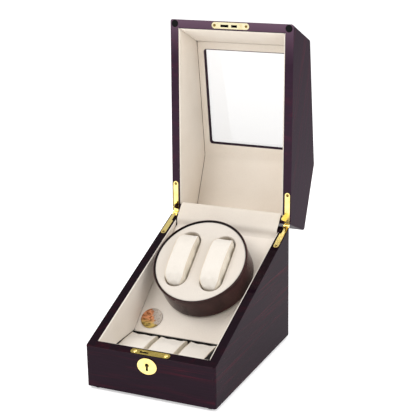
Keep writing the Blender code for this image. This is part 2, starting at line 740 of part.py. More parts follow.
def fin_outline(grow):
    """The stop fin, seen from the side about the hinge axis with the lid shut."""
    radius = FIN_RADIUS + grow
    back = -FIN_BACK + grow
    rise = RIM_GAP / 2 + 0.0008
    turn = math.degrees(RIM_ANGLE)
    lift = math.degrees(math.asin((rise + HINGE_BEHIND * math.sin(RIM_ANGLE)) / radius))
    start = 180 + turn - lift
    end = 180 + math.degrees(math.acos(-back / radius))
    rim = arc(0, 0, radius, start, end, 10)
    top = back * math.tan(RIM_ANGLE) + rise
    return rim + [(back, top)]


def hinge_hardware(carcass, shell):
    boolean(carcass, leaf_recess(RIM, -1))
    boolean(shell, leaf_recess(LID_RIM, 1))
    for side, sign in (("left", -1), ("right", 1)):
        x = sign * HINGE_X
        fin_x = sign * FIN_X
        boolean(carcass, knuckle_scoop(BASE, x))
        boolean(shell, knuckle_scoop(LID, x))
        base_leaf = hinge_leaf(f"hinge_base_leaf_{side}", RIM, x, -1, BRASS)
        lid_leaf = hinge_leaf(f"hinge_lid_leaf_{side}", LID_RIM, x, 1, BRASS)
        fin = flat_solid("fin", LID, [fin_outline(0)], FIN_THICK, (fin_x, HINGE_Y, HINGE_Z), BRASS, "YZ")
        boolean(lid_leaf, fin, "UNION")
        slot = flat_solid("fin_slot", BASE, [fin_outline(0.0005)], FIN_THICK + 0.0008,
                          (fin_x, HINGE_Y, HINGE_Z), BRASS, "YZ")
        boolean(base_leaf, slot)
        boolean(carcass, slot)
        rod(f"hinge_pin_{side}", BASE, PIN_RADIUS, KNUCKLE_LENGTH, (x, HINGE_Y, HINGE_Z), "X", STEEL, 24)
        screw_along = LEAF_START + LEAF_WIDTH / 2
        small_screw(f"hinge_screw_base_{side}", RIM, x, screw_along, 1, (base_leaf, carcass))
        small_screw(f"hinge_screw_lid_{side}", LID_RIM, x, screw_along, -1, (lid_leaf, shell))


def small_screw(name, parent, x, y, up, holes_in):
    """A countersunk screw with a cross slot, its head a little under the face it is driven into."""
    top = -SCREW_SUNK
    cone = top - SCREW_CONE
    end = top - SCREW_LENGTH
    profile = [(0.0, top), (SCREW_HEAD, top), (SCREW_SHANK, cone), (SCREW_SHANK, end), (0.0, end)]
    screw = turned(name, parent, profile, (x, y, 0), BRASS, 24)
    gap = SCREW_CLEARANCE
    wide = [(0.0, 0.002), (SCREW_HEAD + gap, 0.002), (SCREW_HEAD + gap, top)]
    wide += [(SCREW_SHANK + gap, cone - gap / 2), (SCREW_SHANK + gap, end - gap), (0.0, end - gap)]
    hole = turned("screw_hole", parent, wide, (x, y, 0), BRASS, 24)
    for long, wide in (DRIVER_SLOT, DRIVER_SLOT[::-1]):
        slot = box("driver_slot", parent, (-long, -wide, -0.0006), (long, wide, 0.001), BRASS)
        slot.location = (x, y, up * 0.0002)
        boolean(screw, slot)
    if up < 0:
        for obj in (screw, hole):
            obj.rotation_euler = (math.pi, 0, 0)
    for target in holes_in:
        boolean(target, hole)


# ---------------------------------------------------------------- lid

def lid_section(side_gap, panel_gap, low_gap):
    """The lid's inner outline from the side, moved inwards by the given gaps."""
    front = END_WALL + side_gap
    back = INSIDE_BACK - side_gap
    ceiling = CLOSED_HEIGHT - LID_PANEL - panel_gap
    depth = LID_PANEL + panel_gap
    section = [(front, rim_height(front) + low_gap), (back, rim_height(back) + low_gap), (back, ceiling)]
    section += [(slope_reach(ceiling, depth), ceiling), (front, slope_height(front, depth))]
    return section


def lid_shell():
    profile = [(0, FRONT_RIM + RIM_GAP), (DEPTH, BACK_RIM + RIM_GAP), (DEPTH, CLOSED_HEIGHT)]
    profile += [(TOP_START, CLOSED_HEIGHT), (0, FRONT_TOP)]
    shell = flat_solid("lid_shell", LID, [profile], WIDTH + 0.002, (0, 0, 0), LACQUER, "YZ")
    boolean(shell, outer_column(LID), "INTERSECT")
    hollow = flat_solid("hollow", LID, [lid_section(0, 0, -0.01)], 2 * INSIDE_X, (0, 0, 0), LACQUER, "YZ")
    boolean(shell, hollow)
    hole = flat_solid("window_hole", SLOPE, [window_outline(0.0)], 0.04, (0, 0, 0), LACQUER)
    boolean(shell, hole)
    low, high = pane_corners(0.0)
    boolean(shell, box("pane_rebate", SLOPE, (*low, -PANE_REBATE), (*high, 0.02), LACQUER))
    round_edges(shell, EDGE_ROUND)
    return shell


def window_outline(grow):
    """The window opening seen square on, in the slope's plane, moved outwards by grow."""
    width = 2 * (WINDOW_HALF_WIDTH + grow)
    length = WINDOW_END - WINDOW_START + 2 * grow
    middle = (WINDOW_START + WINDOW_END) / 2
    return rounded_rectangle(width, length, WINDOW_CORNER + grow, 0.0, middle)


def pane_corners(gap):
    reach = WINDOW_HALF_WIDTH + PANE_LEDGE - gap
    return (-reach, WINDOW_START - PANE_LEDGE + gap), (reach, WINDOW_END + PANE_LEDGE - gap)


def window_pane():
    low, high = pane_corners(FIT)
    z = -PANE_REBATE + FIT
    pane = box("window_pane", SLOPE, (*low, z), (*high, z + PANE_THICK), GLASS)
    round_edges(pane, EDGE_ROUND)


def lid_linings():
    section = lid_section(FIT, FIT, RIM_GAP + 0.0004)
    x = INSIDE_X - FIT - LINING / 2
    for side, place in (("left", -x), ("right", x)):
        flat_solid(f"lid_lining_{side}", LID, [section], LINING, (place, 0, 0), CREAM, "YZ")
    reach = INSIDE_X - 2 * FIT - LINING
    front = END_WALL + FIT
    low_front = rim_height(front + LINING) + RIM_GAP + 0.0006
    high_front = slope_height(front, LID_PANEL + LINING + FIT) - 0.0005
    box("lid_lining_front", LID, (-reach, front, low_front), (reach, front + LINING, high_front), CREAM)
    deep = LID_PANEL + FIT
    low = (-reach, WINDOW_LINING[0], -deep - LINING)
    panel = box("lid_lining_window", SLOPE, low, (reach, WINDOW_LINING[1], -deep), CREAM)
    hole = flat_solid("lining_hole", SLOPE, [window_outline(WINDOW_REVEAL)], 0.1, (0, 0, 0), CREAM)
    boolean(panel, hole)
    ceiling = CLOSED_HEIGHT - LID_PANEL - FIT
    back = INSIDE_BACK - FIT
    low = (-reach, slope_reach(ceiling, deep) + 0.0012, ceiling - LINING)
    top = box("lid_lining_top", LID, low, (reach, back, ceiling), CREAM)
    low = (-reach, back - LINING, rim_height(back) + RIM_GAP + 0.0006)
    boolean(top, box("lining_back", LID, low, (reach, back, ceiling - 0.0005), CREAM), "UNION")


def strike(shell):
    length, width, thick = STRIKE_PLATE
    outline = stadium(length, width, PLATE_X, PLATE_ALONG)
    wider = stadium(length + 2 * FIT, width + 2 * FIT, PLATE_X, PLATE_ALONG)
    boolean(shell, flat_solid("strike_recess", LID_RIM, [wider], 0.01, (0, 0, thick + FIT - 0.005), LACQUER))
    plate = flat_solid("strike_plate", LID_RIM, [outline], thick, (0, 0, thick / 2), BRASS)
    for x, reach in ((SLOT_X, SLOT_LENGTH), (SECOND_SLOT_X, SECOND_SLOT_LENGTH)):
        slot = plate_slot(x, reach, LID_RIM, PLATE_ALONG + STRIKE_SLOT_SHIFT, BRASS)
        boolean(plate, slot)
        low = (x - reach / 2, LOCK_Y - STRIKE_POCKET, FRONT_RIM - 0.01)
        high = (x + reach / 2, LOCK_Y + STRIKE_POCKET, STRIKE_POCKET_TOP)
        boolean(shell, box("strike_pocket", LID, low, high, LACQUER))


def bumpers(shell):
    """Rubber buttons let into the front corners of the lid's rim."""
    profile = [(0.0, BUMPER_SUNK), (BUMPER_RADIUS, BUMPER_SUNK), (BUMPER_RADIUS, 0.0)]
    profile += [(BUMPER_RADIUS * 0.8, -BUMPER_PROUD * 0.7), (0.0, -BUMPER_PROUD)]
    for side, x in (("left", -BUMPER_X), ("right", BUMPER_X)):
        place = (x, PLATE_ALONG, BUMPER_SUNK + FIT - 0.005)
        hole = rod("bumper_hole", LID_RIM, BUMPER_RADIUS + FIT, 0.01, place, "Z", LACQUER)
        boolean(shell, hole)
        turned(f"lid_bumper_{side}", LID_RIM, profile, (x, PLATE_ALONG, 0), RUBBER, 32)


def hinge_flap():
    """The cloth strip from the top of the deck, up the back wall and over to the open lid."""
    half = FLAP_THICK / 2
    lean = math.atan2(FLAP_END[1] - FLAP_BEND[1], FLAP_END[0] - FLAP_BEND[0])
    turn = half * math.tan(lean / 2)
    aside = (half * math.sin(lean), half * math.cos(lean))
    strip = [(FLAP_START[0] - half, FLAP_START[1]), (FLAP_BEND[0] - half, FLAP_BEND[1] + turn)]
    strip += [(FLAP_END[0] - aside[0], FLAP_END[1] + aside[1])]
    strip += [(FLAP_END[0] + aside[0], FLAP_END[1] - aside[1])]
    strip += [(FLAP_BEND[0] + half, FLAP_BEND[1] - turn), (FLAP_START[0] + half, FLAP_START[1])]
    flat_solid("hinge_flap", BASE, [strip], 2 * FLAP_REACH, (0, 0, 0), CREAM, "YZ")


# ---------------------------------------------------------------- rear controls

def control_plate():
    outline = rounded_rectangle(PANEL_SIZE[0], PANEL_SIZE[1], 0.004)
    y = DEPTH + FIT + PANEL_THICK / 2
    plate = flat_solid("control_plate", BASE, [outline], PANEL_THICK, (0, y, PANEL_Z), BLACK_PLASTIC, "XZ")
    round_edges(plate, 0.0006, 2, 40)
    for name, x, radius in (("jack_hole", JACK_X, JACK_HOLE), ("knob_hole", KNOB_X, KNOB_HOLE)):
        boolean(plate, rod(name, BASE, radius, 0.02, (x, y, PANEL_Z), "Y", BLACK_PLASTIC, 32))
    low = (ROCKER_X - ROCKER_HOLE[0], y - 0.01, PANEL_Z - ROCKER_HOLE[1])
    high = (ROCKER_X + ROCKER_HOLE[0], y + 0.01, PANEL_Z + ROCKER_HOLE[1])
    boolean(plate, box("rocker_hole", BASE, low, high, BLACK_PLASTIC))


def jack_and_controls():
    outside = DEPTH + FIT + PANEL_THICK
    profile = [(0.0031, 0.0020), (0.0068, 0.0020), (0.0068, FIT), (0.0054, FIT), (0.0054, -0.0110)]
    profile += [(0.0, -0.0110), (0.0, -0.0090), (0.0031, -0.0090)]
    jack = turned("power_jack", BASE, profile, (JACK_X, outside, PANEL_Z), BLACK_PLASTIC, 32, True)
    jack.rotation_euler = (-math.pi / 2, 0, 0)
    pin = rod("jack_pin", BASE, 0.0010, 0.0085, (JACK_X, outside - 0.0052, PANEL_Z), "Y", STEEL, 16)
    boolean(jack, pin, "UNION")
    half = ROCKER_HALF
    rocker = [(-0.0045, -half), (0.0024, -half), (0.0012, 0.0), (0.0024, half), (-0.0045, half)]
    place = (ROCKER_X, outside - 0.0010, PANEL_Z)
    cap = flat_solid("power_rocker", BASE, [rocker], ROCKER_WIDTH, place, BLACK_PLASTIC, "YZ")
    cap.rotation_euler = (-ROCKER_TILT, 0, 0)
    round_edges(cap, 0.0004, 1)
    profile = [(0.0, KNOB_HEIGHT), (0.0058, KNOB_HEIGHT), (0.0064, KNOB_HEIGHT - 0.0006)]
    profile += [(0.0070, 0.0004), (KNOB_SHAFT, 0.0004), (KNOB_SHAFT, -0.0080), (0.0, -0.0080)]
    knob = turned("mode_knob", BASE, profile, (KNOB_X, outside, PANEL_Z), BLACK_PLASTIC, 40)
    knob.rotation_euler = (-math.pi / 2, 0, 0)
    low = (KNOB_X - 0.0005, outside + KNOB_HEIGHT - 0.0006, PANEL_Z)
    high = (KNOB_X + 0.0005, outside + 0.01, PANEL_Z + 0.0052)
    boolean(knob, box("pointer", BASE, low, high, BLACK_PLASTIC))


def control_board():
    y = INSIDE_BACK - 0.0080
    half, bottom, top = CONTROL_BOARD
    board = box("control_board", BASE, (-half, y, bottom), (half, y + 0.0016, top), BOARD_GREEN)
    for x, z, width, height, depth in BOARD_BLOCKS:
        low = (x - width / 2, y - depth, z - height / 2)
        high = (x + width / 2, y + 0.0005, z + height / 2)
        boolean(board, box("component", BASE, low, high, BOARD_GREEN), "UNION")


def motor_lead():
    """The supply wire from the control board to the side of the motor can."""
    tube("motor_lead", BASE, LEAD_ROUTE, LEAD_RADIUS, RED_WIRE)


# ---------------------------------------------------------------- build

clear_scene()
PARTS = new_collection("watch_winder_box")
CUTTERS = new_collection("cutters")

LACQUER = material("dark_lacquered_wood", (0.030, 0.014, 0.020), 0.12, 0.0, 1.0)
BOARD = material("floor_board", (0.035, 0.030, 0.030), 0.7)
CREAM = material("cream_lining", (0.78, 0.68, 0.57), 0.85)
FLOCK = material("dark_tray_board", (0.020, 0.015, 0.014), 0.8)
DRUM_BROWN = material("brown_lacquer", (0.060, 0.035, 0.034), 0.2, 0.0, 0.6)
GLOSS_BLACK = material("black_lacquer", (0.010, 0.008, 0.009), 0.15, 0.0, 0.8)
BRASS = material("polished_brass", (0.86, 0.62, 0.20), 0.18, 1.0)
COPPER = material("printed_disc", (0.55, 0.26, 0.13), 0.4, 0.3)
STEEL = material("plated_steel", (0.55, 0.55, 0.56), 0.3, 1.0)
RUBBER = material("black_rubber", (0.012, 0.012, 0.012), 0.6)
NYLON = material("white_nylon", (0.75, 0.74, 0.70), 0.45)
GLASS = material("clear_glass", (0.90, 0.93, 0.93), 0.03)
BLACK_PLASTIC = material("black_plastic", (0.015, 0.015, 0.016), 0.4)
BOARD_GREEN = material("circuit_board", (0.02, 0.16, 0.07), 0.5)
RED_WIRE = material("red_wire", (0.45, 0.03, 0.02), 0.5)

BASE = frame("base_frame", None, (0, -CENTRE_Y, 0))
HINGE = frame("lid_hinge", BASE, (0, HINGE_Y, HINGE_Z), -OPEN_ANGLE)
LID = frame("lid_frame", HINGE, (0, -HINGE_Y, -HINGE_Z))
RIM = frame("base_rim", BASE, (0, 0, FRONT_RIM), RIM_ANGLE)
LID_RIM = frame("lid_rim", LID, (0, 0, FRONT_RIM + RIM_GAP), RIM_ANGLE)
SLOPE = frame("lid_slope", LID, (0, 0, FRONT_TOP), SLOPE_ANGLE)
DECK = frame("deck_frame", BASE, (0, DECK_FRONT, DECK_FRONT_HEIGHT), DECK_ANGLE)
SPIN = frame("turntable_axis", DECK, (0, TURNTABLE_ALONG, 0))

CARCASS = base_carcass()
SHELL = lid_shell()
base_floor()
feet()
base_lining()
pillow_tray()
storage_pillows()
deck_panel()
medallion()
drum()
ring()
face_and_wells()
winder_cushions()
shaft_and_bush()
drive()
motor()
lock(CARCASS)
escutcheon()
hinge_hardware(CARCASS, SHELL)
window_pane()
lid_linings()
strike(SHELL)
bumpers(SHELL)
hinge_flap()
control_plate()
jack_and_controls()
control_board()
motor_lead()
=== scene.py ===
"""Looks of the watch winder box: materials, padded linings, cushions, light and camera.

Lengths are in metres and angles in radians. Case coordinates run X across, Y from the front face
to the back and Z up from the floor. The matrices below turn them, and the frames that tilt with
the rim, the deck and the lid, into the row frame.
"""

import bisect
import math

import bmesh
import bpy
import numpy as np
from mathutils import Matrix, Vector, noise
from mathutils.geometry import delaunay_2d_cdt


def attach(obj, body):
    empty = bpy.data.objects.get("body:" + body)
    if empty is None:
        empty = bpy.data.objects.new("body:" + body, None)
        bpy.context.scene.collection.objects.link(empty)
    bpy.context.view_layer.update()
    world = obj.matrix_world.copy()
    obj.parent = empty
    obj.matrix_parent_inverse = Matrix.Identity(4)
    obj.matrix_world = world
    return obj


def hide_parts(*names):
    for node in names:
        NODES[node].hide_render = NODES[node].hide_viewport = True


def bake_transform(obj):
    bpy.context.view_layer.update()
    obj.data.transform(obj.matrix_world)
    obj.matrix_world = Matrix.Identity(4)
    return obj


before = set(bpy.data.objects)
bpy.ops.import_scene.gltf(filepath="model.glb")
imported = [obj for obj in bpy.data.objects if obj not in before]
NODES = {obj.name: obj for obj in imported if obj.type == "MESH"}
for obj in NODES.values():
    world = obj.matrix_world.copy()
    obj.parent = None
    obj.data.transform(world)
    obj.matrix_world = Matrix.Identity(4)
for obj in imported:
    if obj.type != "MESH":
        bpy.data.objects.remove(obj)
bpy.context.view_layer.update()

# Case, as in the CAD
DEPTH = 0.2525
CENTRE_Y = 0.17488
FRONT_RIM = 0.0590
BACK_RIM = 0.1623
FRONT_TOP = 0.1307
CLOSED_HEIGHT = 0.2247
TOP_START = 0.1568
RIM_GAP = 0.0012
OPEN_ANGLE = math.radians(114.0)
HINGE_BEHIND = 0.0024
DECK_FRONT = 0.1040
DECK_FRONT_HEIGHT = 0.0410
DECK_ANGLE = math.radians(38.8)
TURNTABLE_ALONG = 0.0973
PLATE_ALONG = 0.0058
INSIDE_X = 0.0783
INSIDE_BACK = 0.2418
END_WALL = 0.0107
LID_PANEL = 0.0090
FLOOR_TOP = 0.0075
LINING = 0.0018
DECK_THICK = 0.0030
BUSH_RADIUS = 0.0077
BUSH_STEPS = 24
TRAY_WALL = 0.0014
MEDALLION = (-0.0580, 0.0223)

# Gaps: two panels side by side, a fitted piece, a soft piece, and panel edges above and below
HAIR = 0.0001
FIT = 0.0003
CLEAR = 0.0004
HEAD_CLEAR = 0.0005
EDGE_CLEAR = 0.0006

# Window and its lining
WINDOW_HALF_WIDTH = 0.0660
WINDOW_START = 0.0198
WINDOW_END = 0.1602
WINDOW_CORNER = 0.0030
WINDOW_REVEAL = 0.0013
WINDOW_BEND = 0.0045
SLOPE_START = 0.0074

# Storage pillows; each round is its centre, its reach along and up, and its first angle
PILLOW_SIZE = (0.0355, 0.0860, 0.0345)
PILLOW_ROUNDS = (
    (0.0386, 0.0096, 0.0050, 0.0050, 0),
    (0.0286, -0.0098, 0.0704, 0.0244, 90),
    (-0.0318, -0.0052, 0.0100, 0.0110, 180),
    (0.0336, -0.0062, 0.0100, 0.0100, 270),
)
PILLOW_STEPS = 12
PILLOW_MIDDLE = -0.0139
PILLOW_PITCH = 0.0433
PILLOW_SPARE = 0.0022
PILLOW_WIDER = 0.0003
PILLOW_SWELL = 0.0011

# Turntable: ring, face, wells and cushions
RING_INSIDE = 0.0629
RING_TOP = 0.0426
RING_BLACK = 0.0011
# Painted shade of a groove: a fine black line round the ring's side, between these depths under its top
GROOVE_SHADE_TOP = 0.0012
GROOVE_SHADE_BOTTOM = 0.0018
LINE_BLUR = 0.0001
FACE_STEPS = 90
FACE_TOP = 0.0414
FACE_BOTTOM = 0.0382
WELL_X = 0.0254
WELL_SIZE = (0.0320, 0.0870)
WELL_CORNER = 0.0158
WELL_STEPS = 10
CUSHION_SIZE = (0.0296, 0.0790, 0.0430)
CUSHION_CORNER = 0.0145
CUSHION_SQUARENESS = 3.0
CUSHION_BOTTOM = 0.0110
CUSHION_STEPS = 72
CUSHION_INSET = 0.0012
CUSHION_STRAIGHT = 0.0022
CUSHION_END = 0.0016
CUSHION_NARROWER = 0.0014
CUSHION_SWELL = 0.0013

# Cloth flap: how far it lies on the deck, and the corners of its way to the lid as (y, z)
FLAP_DECK = 0.0050
FLAP_FOLD = (0.2411, 0.1505)
FLAP_BEND = (0.2411, 0.1593)
FLAP_CREST = (0.2584, 0.1788)
FLAP_END = (0.2625, 0.1771)
FLAP_THICK = 0.0005
FLAP_REACH = 0.0757
FLAP_ROUND = 0.0020
FLAP_CELL = 0.003
FLAP_RIPPLE = 0.00025
FLAP_WAVES = (60, 90)

# Screws of the lock plate and the strike plate, as (label, x)
LOCK_SCREWS = (("left", -0.0218), ("right", 0.0209))
LOCK_SCREW_RADIUS = 0.0024
STRIKE_SCREWS = (("left", -0.0240), ("right", 0.0223))
STRIKE_SCREW_RADIUS = 0.0020

# A screw head in parts of its radius: its cross slot, dome and underside, and its mesh lines
CROSS_HALF = 0.13
CROSS_SLOPE = 0.02
CROSS_REACH = 0.60
CROSS_DEEP = 0.15
DOME_HEIGHT = 0.30
DOME_REACH = 0.86
UNDERSIDE = -0.08
SCREW_LINES = (0.35, 0.58, 0.62, 0.8, 0.93, 1.0)
SCREW_TURN = math.radians(17)

# Control plate at the back
PANEL_Z = 0.0420
PANEL_THICK = 0.0022
KNOB_X = 0.0240
SIGN_RISE = 0.0125

# Marks on the control plate: width, height, corner, middle x and z, and steps in a corner
DIAL_TICK = (0.0006, 0.0018, 0.00025, 0.0, 0.0104, 3)
ON_SIGN = (0.0007, 0.0030, 0.0003, 0.0, 0.0, 3)
OFF_DASH = (0.0008, 0.0005, 0.0002, 0.0, 0.0013, 2)
SOCKET_DASH = (0.0022, 0.0005, 0.0002, 0.0, 0.0092, 2)
DIAL_TICKS = 7
DIAL_START = -120
DIAL_STEP = 40
OFF_DASHES = 12
SOCKET_DASHES = 20
SOCKET_GAP_EVERY = 5
MARK_CELL = 0.004
MARK_HEIGHT = 0.00012

# Points over a panel: rows beside its edges, and a triangular grid between them
ROLL_STEPS = (0.0003, 0.0008, 0.0016)
ROW_KEPT = 0.93
GRID_ROWS = 0.87
GRID_KEPT = 0.35

# A route's bends: steps in each, and half the stretch over which its direction is read
BEND_STEPS = 12
PROBE = 0.0004

# Padding: waves per metre, how far crowns and puckers reach in, and the least share of thickness
LID_ROLL = 0.0005
SLOW_WAVES = 38
QUICK_WAVES = 170
QUICK_SHARE = 0.6
CROWN_REACH = 0.016
PUCKER_REACH = 0.007
LEAST_THICK = 0.1

# Cloth simulation and seams
CLOTH_PRESSURE = 4.0
CLOTH_MASS = 0.0008
CLOTH_QUALITY = 8
CLOTH_SHRINK = -0.02
CLOTH_FRAMES = 20
PIPING_RADIUS = 0.0005

# Places in a cushion's list of finishes
BAND = 0
GUSSET = 1
PIPING = 2

# Slopes of the rim and of the window panel, and the hinge line
RIM_ANGLE = math.atan2(BACK_RIM - FRONT_RIM, DEPTH)
SLOPE_ANGLE = math.atan2(CLOSED_HEIGHT - FRONT_TOP, TOP_START)
HINGE_Y = DEPTH + HINGE_BEHIND
HINGE_Z = BACK_RIM + RIM_GAP / 2


def shift(x, y, z):
    return Matrix.Translation((x, y, z))


def tilt(angle):
    return Matrix.Rotation(angle, 4, "X")


BASE = shift(0, -CENTRE_Y, 0)
LID = BASE @ shift(0, HINGE_Y, HINGE_Z) @ tilt(-OPEN_ANGLE) @ shift(0, -HINGE_Y, -HINGE_Z)
RIM = BASE @ shift(0, 0, FRONT_RIM) @ tilt(RIM_ANGLE)
LID_RIM = LID @ shift(0, 0, FRONT_RIM + RIM_GAP) @ tilt(RIM_ANGLE)
SLOPE = LID @ shift(0, 0, FRONT_TOP) @ tilt(SLOPE_ANGLE)
DECK = BASE @ shift(0, DECK_FRONT, DECK_FRONT_HEIGHT) @ tilt(DECK_ANGLE)
SPIN = DECK @ shift(0, TURNTABLE_ALONG, 0)


# ---------------------------------------------------------------- camera, floor and light

CAMERA_PLACE = (0.613096, -1.323226, 0.641998)
CAMERA_RIGHT = (0.91078856, 0.41258604, -0.01539369)
CAMERA_UP = (-0.10654982, 0.27090438, 0.95669115)
CAMERA_AHEAD = (-0.39888763, 0.86970316, -0.29069758)
CAMERA_LENS = 98.03
SENSOR_WIDTH = 36.0
LIGHT_TARGET = (0.0, 0.0, 0.16)
LIGHTS = (
    ("key", (-0.9, -1.3, 1.9), (1.4, 1.0), 22.0, (1.0, 0.985, 0.975)),
    ("fill", (1.7, -0.6, 1.2), (1.2, 1.2), 10.0, (1.0, 1.0, 1.0)),
    ("top", (0.1, 0.5, 2.2), (1.6, 1.6), 13.0, (1.0, 1.0, 1.0)),
)
SKY_LIGHT = 0.66
SKY_SEEN = 1.05
FLOOR_REACH = 14.0
FLOOR_GLOW = 0.48


def add_camera():
    """A long lens to the right of the front, a little above the box."""
    data = bpy.data.cameras.new("camera")
    data.lens = CAMERA_LENS
    data.sensor_width = SENSOR_WIDTH
    data.clip_start = 0.05
    data.clip_end = 60.0
    obj = bpy.data.objects.new("camera", data)
    bpy.context.scene.collection.objects.link(obj)
    back = [-a for a in CAMERA_AHEAD]
    columns = (CAMERA_RIGHT, CAMERA_UP, back, CAMERA_PLACE)
    obj.matrix_world = Matrix([[c[row] for c in columns] for row in range(3)] + [[0, 0, 0, 1]])
    bpy.context.scene.camera = obj


def add_lights():
    """Soft rectangular lamps, aimed at the middle of the box."""
    for name, place, size, watts, colour in LIGHTS:
        data = bpy.data.lights.new(name, "AREA")
        data.shape = "RECTANGLE"
        data.size = size[0]
        data.size_y = size[1]
        data.energy = watts
        data.color = colour
        obj = bpy.data.objects.new(name, data)
        bpy.context.scene.collection.objects.link(obj)
        aim = (Vector(LIGHT_TARGET) - Vector(place)).to_track_quat("-Z", "Y")
        obj.matrix_world = Matrix.Translation(place) @ aim.to_matrix().to_4x4()


def add_world():
    """An even white sky; the backdrop itself is a little brighter than the light it gives."""
    world = bpy.data.worlds.new("studio")
    world.use_nodes = True
    tree = world.node_tree
    back = tree.nodes["Background"]
    back.inputs["Color"].default_value = (1.0, 1.0, 1.0, 1.0)
    rays = tree.nodes.new("ShaderNodeLightPath")
    seen = tree.nodes.new("ShaderNodeMath")
    seen.operation = "MAXIMUM"
    tree.links.new(rays.outputs["Is Camera Ray"], seen.inputs[0])
    tree.links.new(rays.outputs["Is Transmission Ray"], seen.inputs[1])
    level = tree.nodes.new("ShaderNodeMapRange")
    level.inputs["To Min"].default_value = SKY_LIGHT
    level.inputs["To Max"].default_value = SKY_SEEN
    tree.links.new(seen.outputs[0], level.inputs["Value"])
    tree.links.new(level.outputs[0], back.inputs["Strength"])
    bpy.context.scene.world = world


def add_floor():
    """White paper that glows a little, so that it stays as light as the sky far away."""
    mesh = bpy.data.meshes.new("floor")
    corners = [(x * FLOOR_REACH, y * FLOOR_REACH, 0) for x, y in ((-1, -1), (1, -1), (1, 1), (-1, 1))]
    mesh.from_pydata(corners, [], [(0, 1, 2, 3)])
    floor = bpy.data.objects.new("floor", mesh)
    bpy.context.scene.collection.objects.link(floor)
    made = Finish("floor_paper", roughness=0.9, specular_ior_level=0.1)
    made.set("Base Color", (0.93, 0.93, 0.93, 1.0))
    made.set("Emission Color", (1.0, 1.0, 1.0, 1.0))
    made.set("Emission Strength", FLOOR_GLOW)
    mesh.materials.append(made.material)


# ---------------------------------------------------------------- materials

def tone(red, green, blue):
    """A colour given as 0 to 255 display values."""
    def linear(value):
        value = value / 255
        return value / 12.92 if value <= 0.04045 else ((value + 0.055) / 1.055) ** 2.4
    return (linear(red), linear(green), linear(blue), 1.0)


class Finish:
    """A node material, built up one node at a time."""

    def __init__(self, name, **sockets):
        self.material = bpy.data.materials.new(name)
        self.material.use_nodes = True
        self.nodes = self.material.node_tree.nodes
        self.links = self.material.node_tree.links
        self.shader = self.nodes["Principled BSDF"]
        for key, value in sockets.items():
            self.set(key.replace("_", " ").title().replace("Ior", "IOR"), value)

    def set(self, key, value):
        self.feed(self.shader, key, value)

    def feed(self, node, key, value):
        if isinstance(value, bpy.types.NodeSocket):
            self.links.new(value, node.inputs[key])
        else:
            node.inputs[key].default_value = value

    def add(self, kind, output=0, inputs=None, **settings):
        node = self.nodes.new("ShaderNode" + kind)
        for key, value in settings.items():
            setattr(node, key, value)
        for key, value in (inputs or {}).items():
            self.feed(node, key, value)
        return node.outputs[output]

    def place(self, turn=0.0, move=(0.0, 0.0, 0.0), scale=(1.0, 1.0, 1.0), source=None):
        """Object coordinates, turned about X, moved and then scaled."""
        spot = source or self.add("TexCoord", "Object")
        if turn or any(move):
            spot = self.add("Mapping", inputs={"Vector": spot, "Rotation": (turn, 0, 0), "Location": move})
        return self.add("Mapping", inputs={"Vector": spot, "Scale": scale})

    def noise(self, vector, scale, detail=3.0, rough=0.5, distortion=0.0):
        inputs = {"Vector": vector, "Scale": scale, "Detail": detail, "Roughness": rough,
                  "Distortion": distortion}
        return self.add("TexNoise", "Fac", inputs)

    def cells(self, vector, scale, feature="F1"):
        return self.add("TexVoronoi", "Distance", {"Vector": vector, "Scale": scale}, feature=feature)

    def part(self, vector, axis):
        """One coordinate of a vector."""
        return self.add("SeparateXYZ", "XYZ".index(axis), {0: vector})

    def remap(self, value, low, high, to_low=0.0, to_high=1.0):
        inputs = {"Value": value, "From Min": low, "From Max": high, "To Min": to_low, "To Max": to_high}
        return self.add("MapRange", 0, inputs)

    def math(self, operation, a, b=0.0):
        return self.add("Math", 0, {0: a, 1: b}, operation=operation)

    def mix(self, factor, a, b):
        node = self.nodes.new("ShaderNodeMix")
        node.data_type = "RGBA"
        for index, value in ((0, factor), (6, a), (7, b)):
            self.feed(node, index, value)
        return node.outputs[2]

    def bump(self, height, distance, strength=1.0, normal=None):
        inputs = {"Height": height, "Distance": distance, "Strength": strength}
        if normal is not None:
            inputs["Normal"] = normal
        return self.add("Bump", 0, inputs)


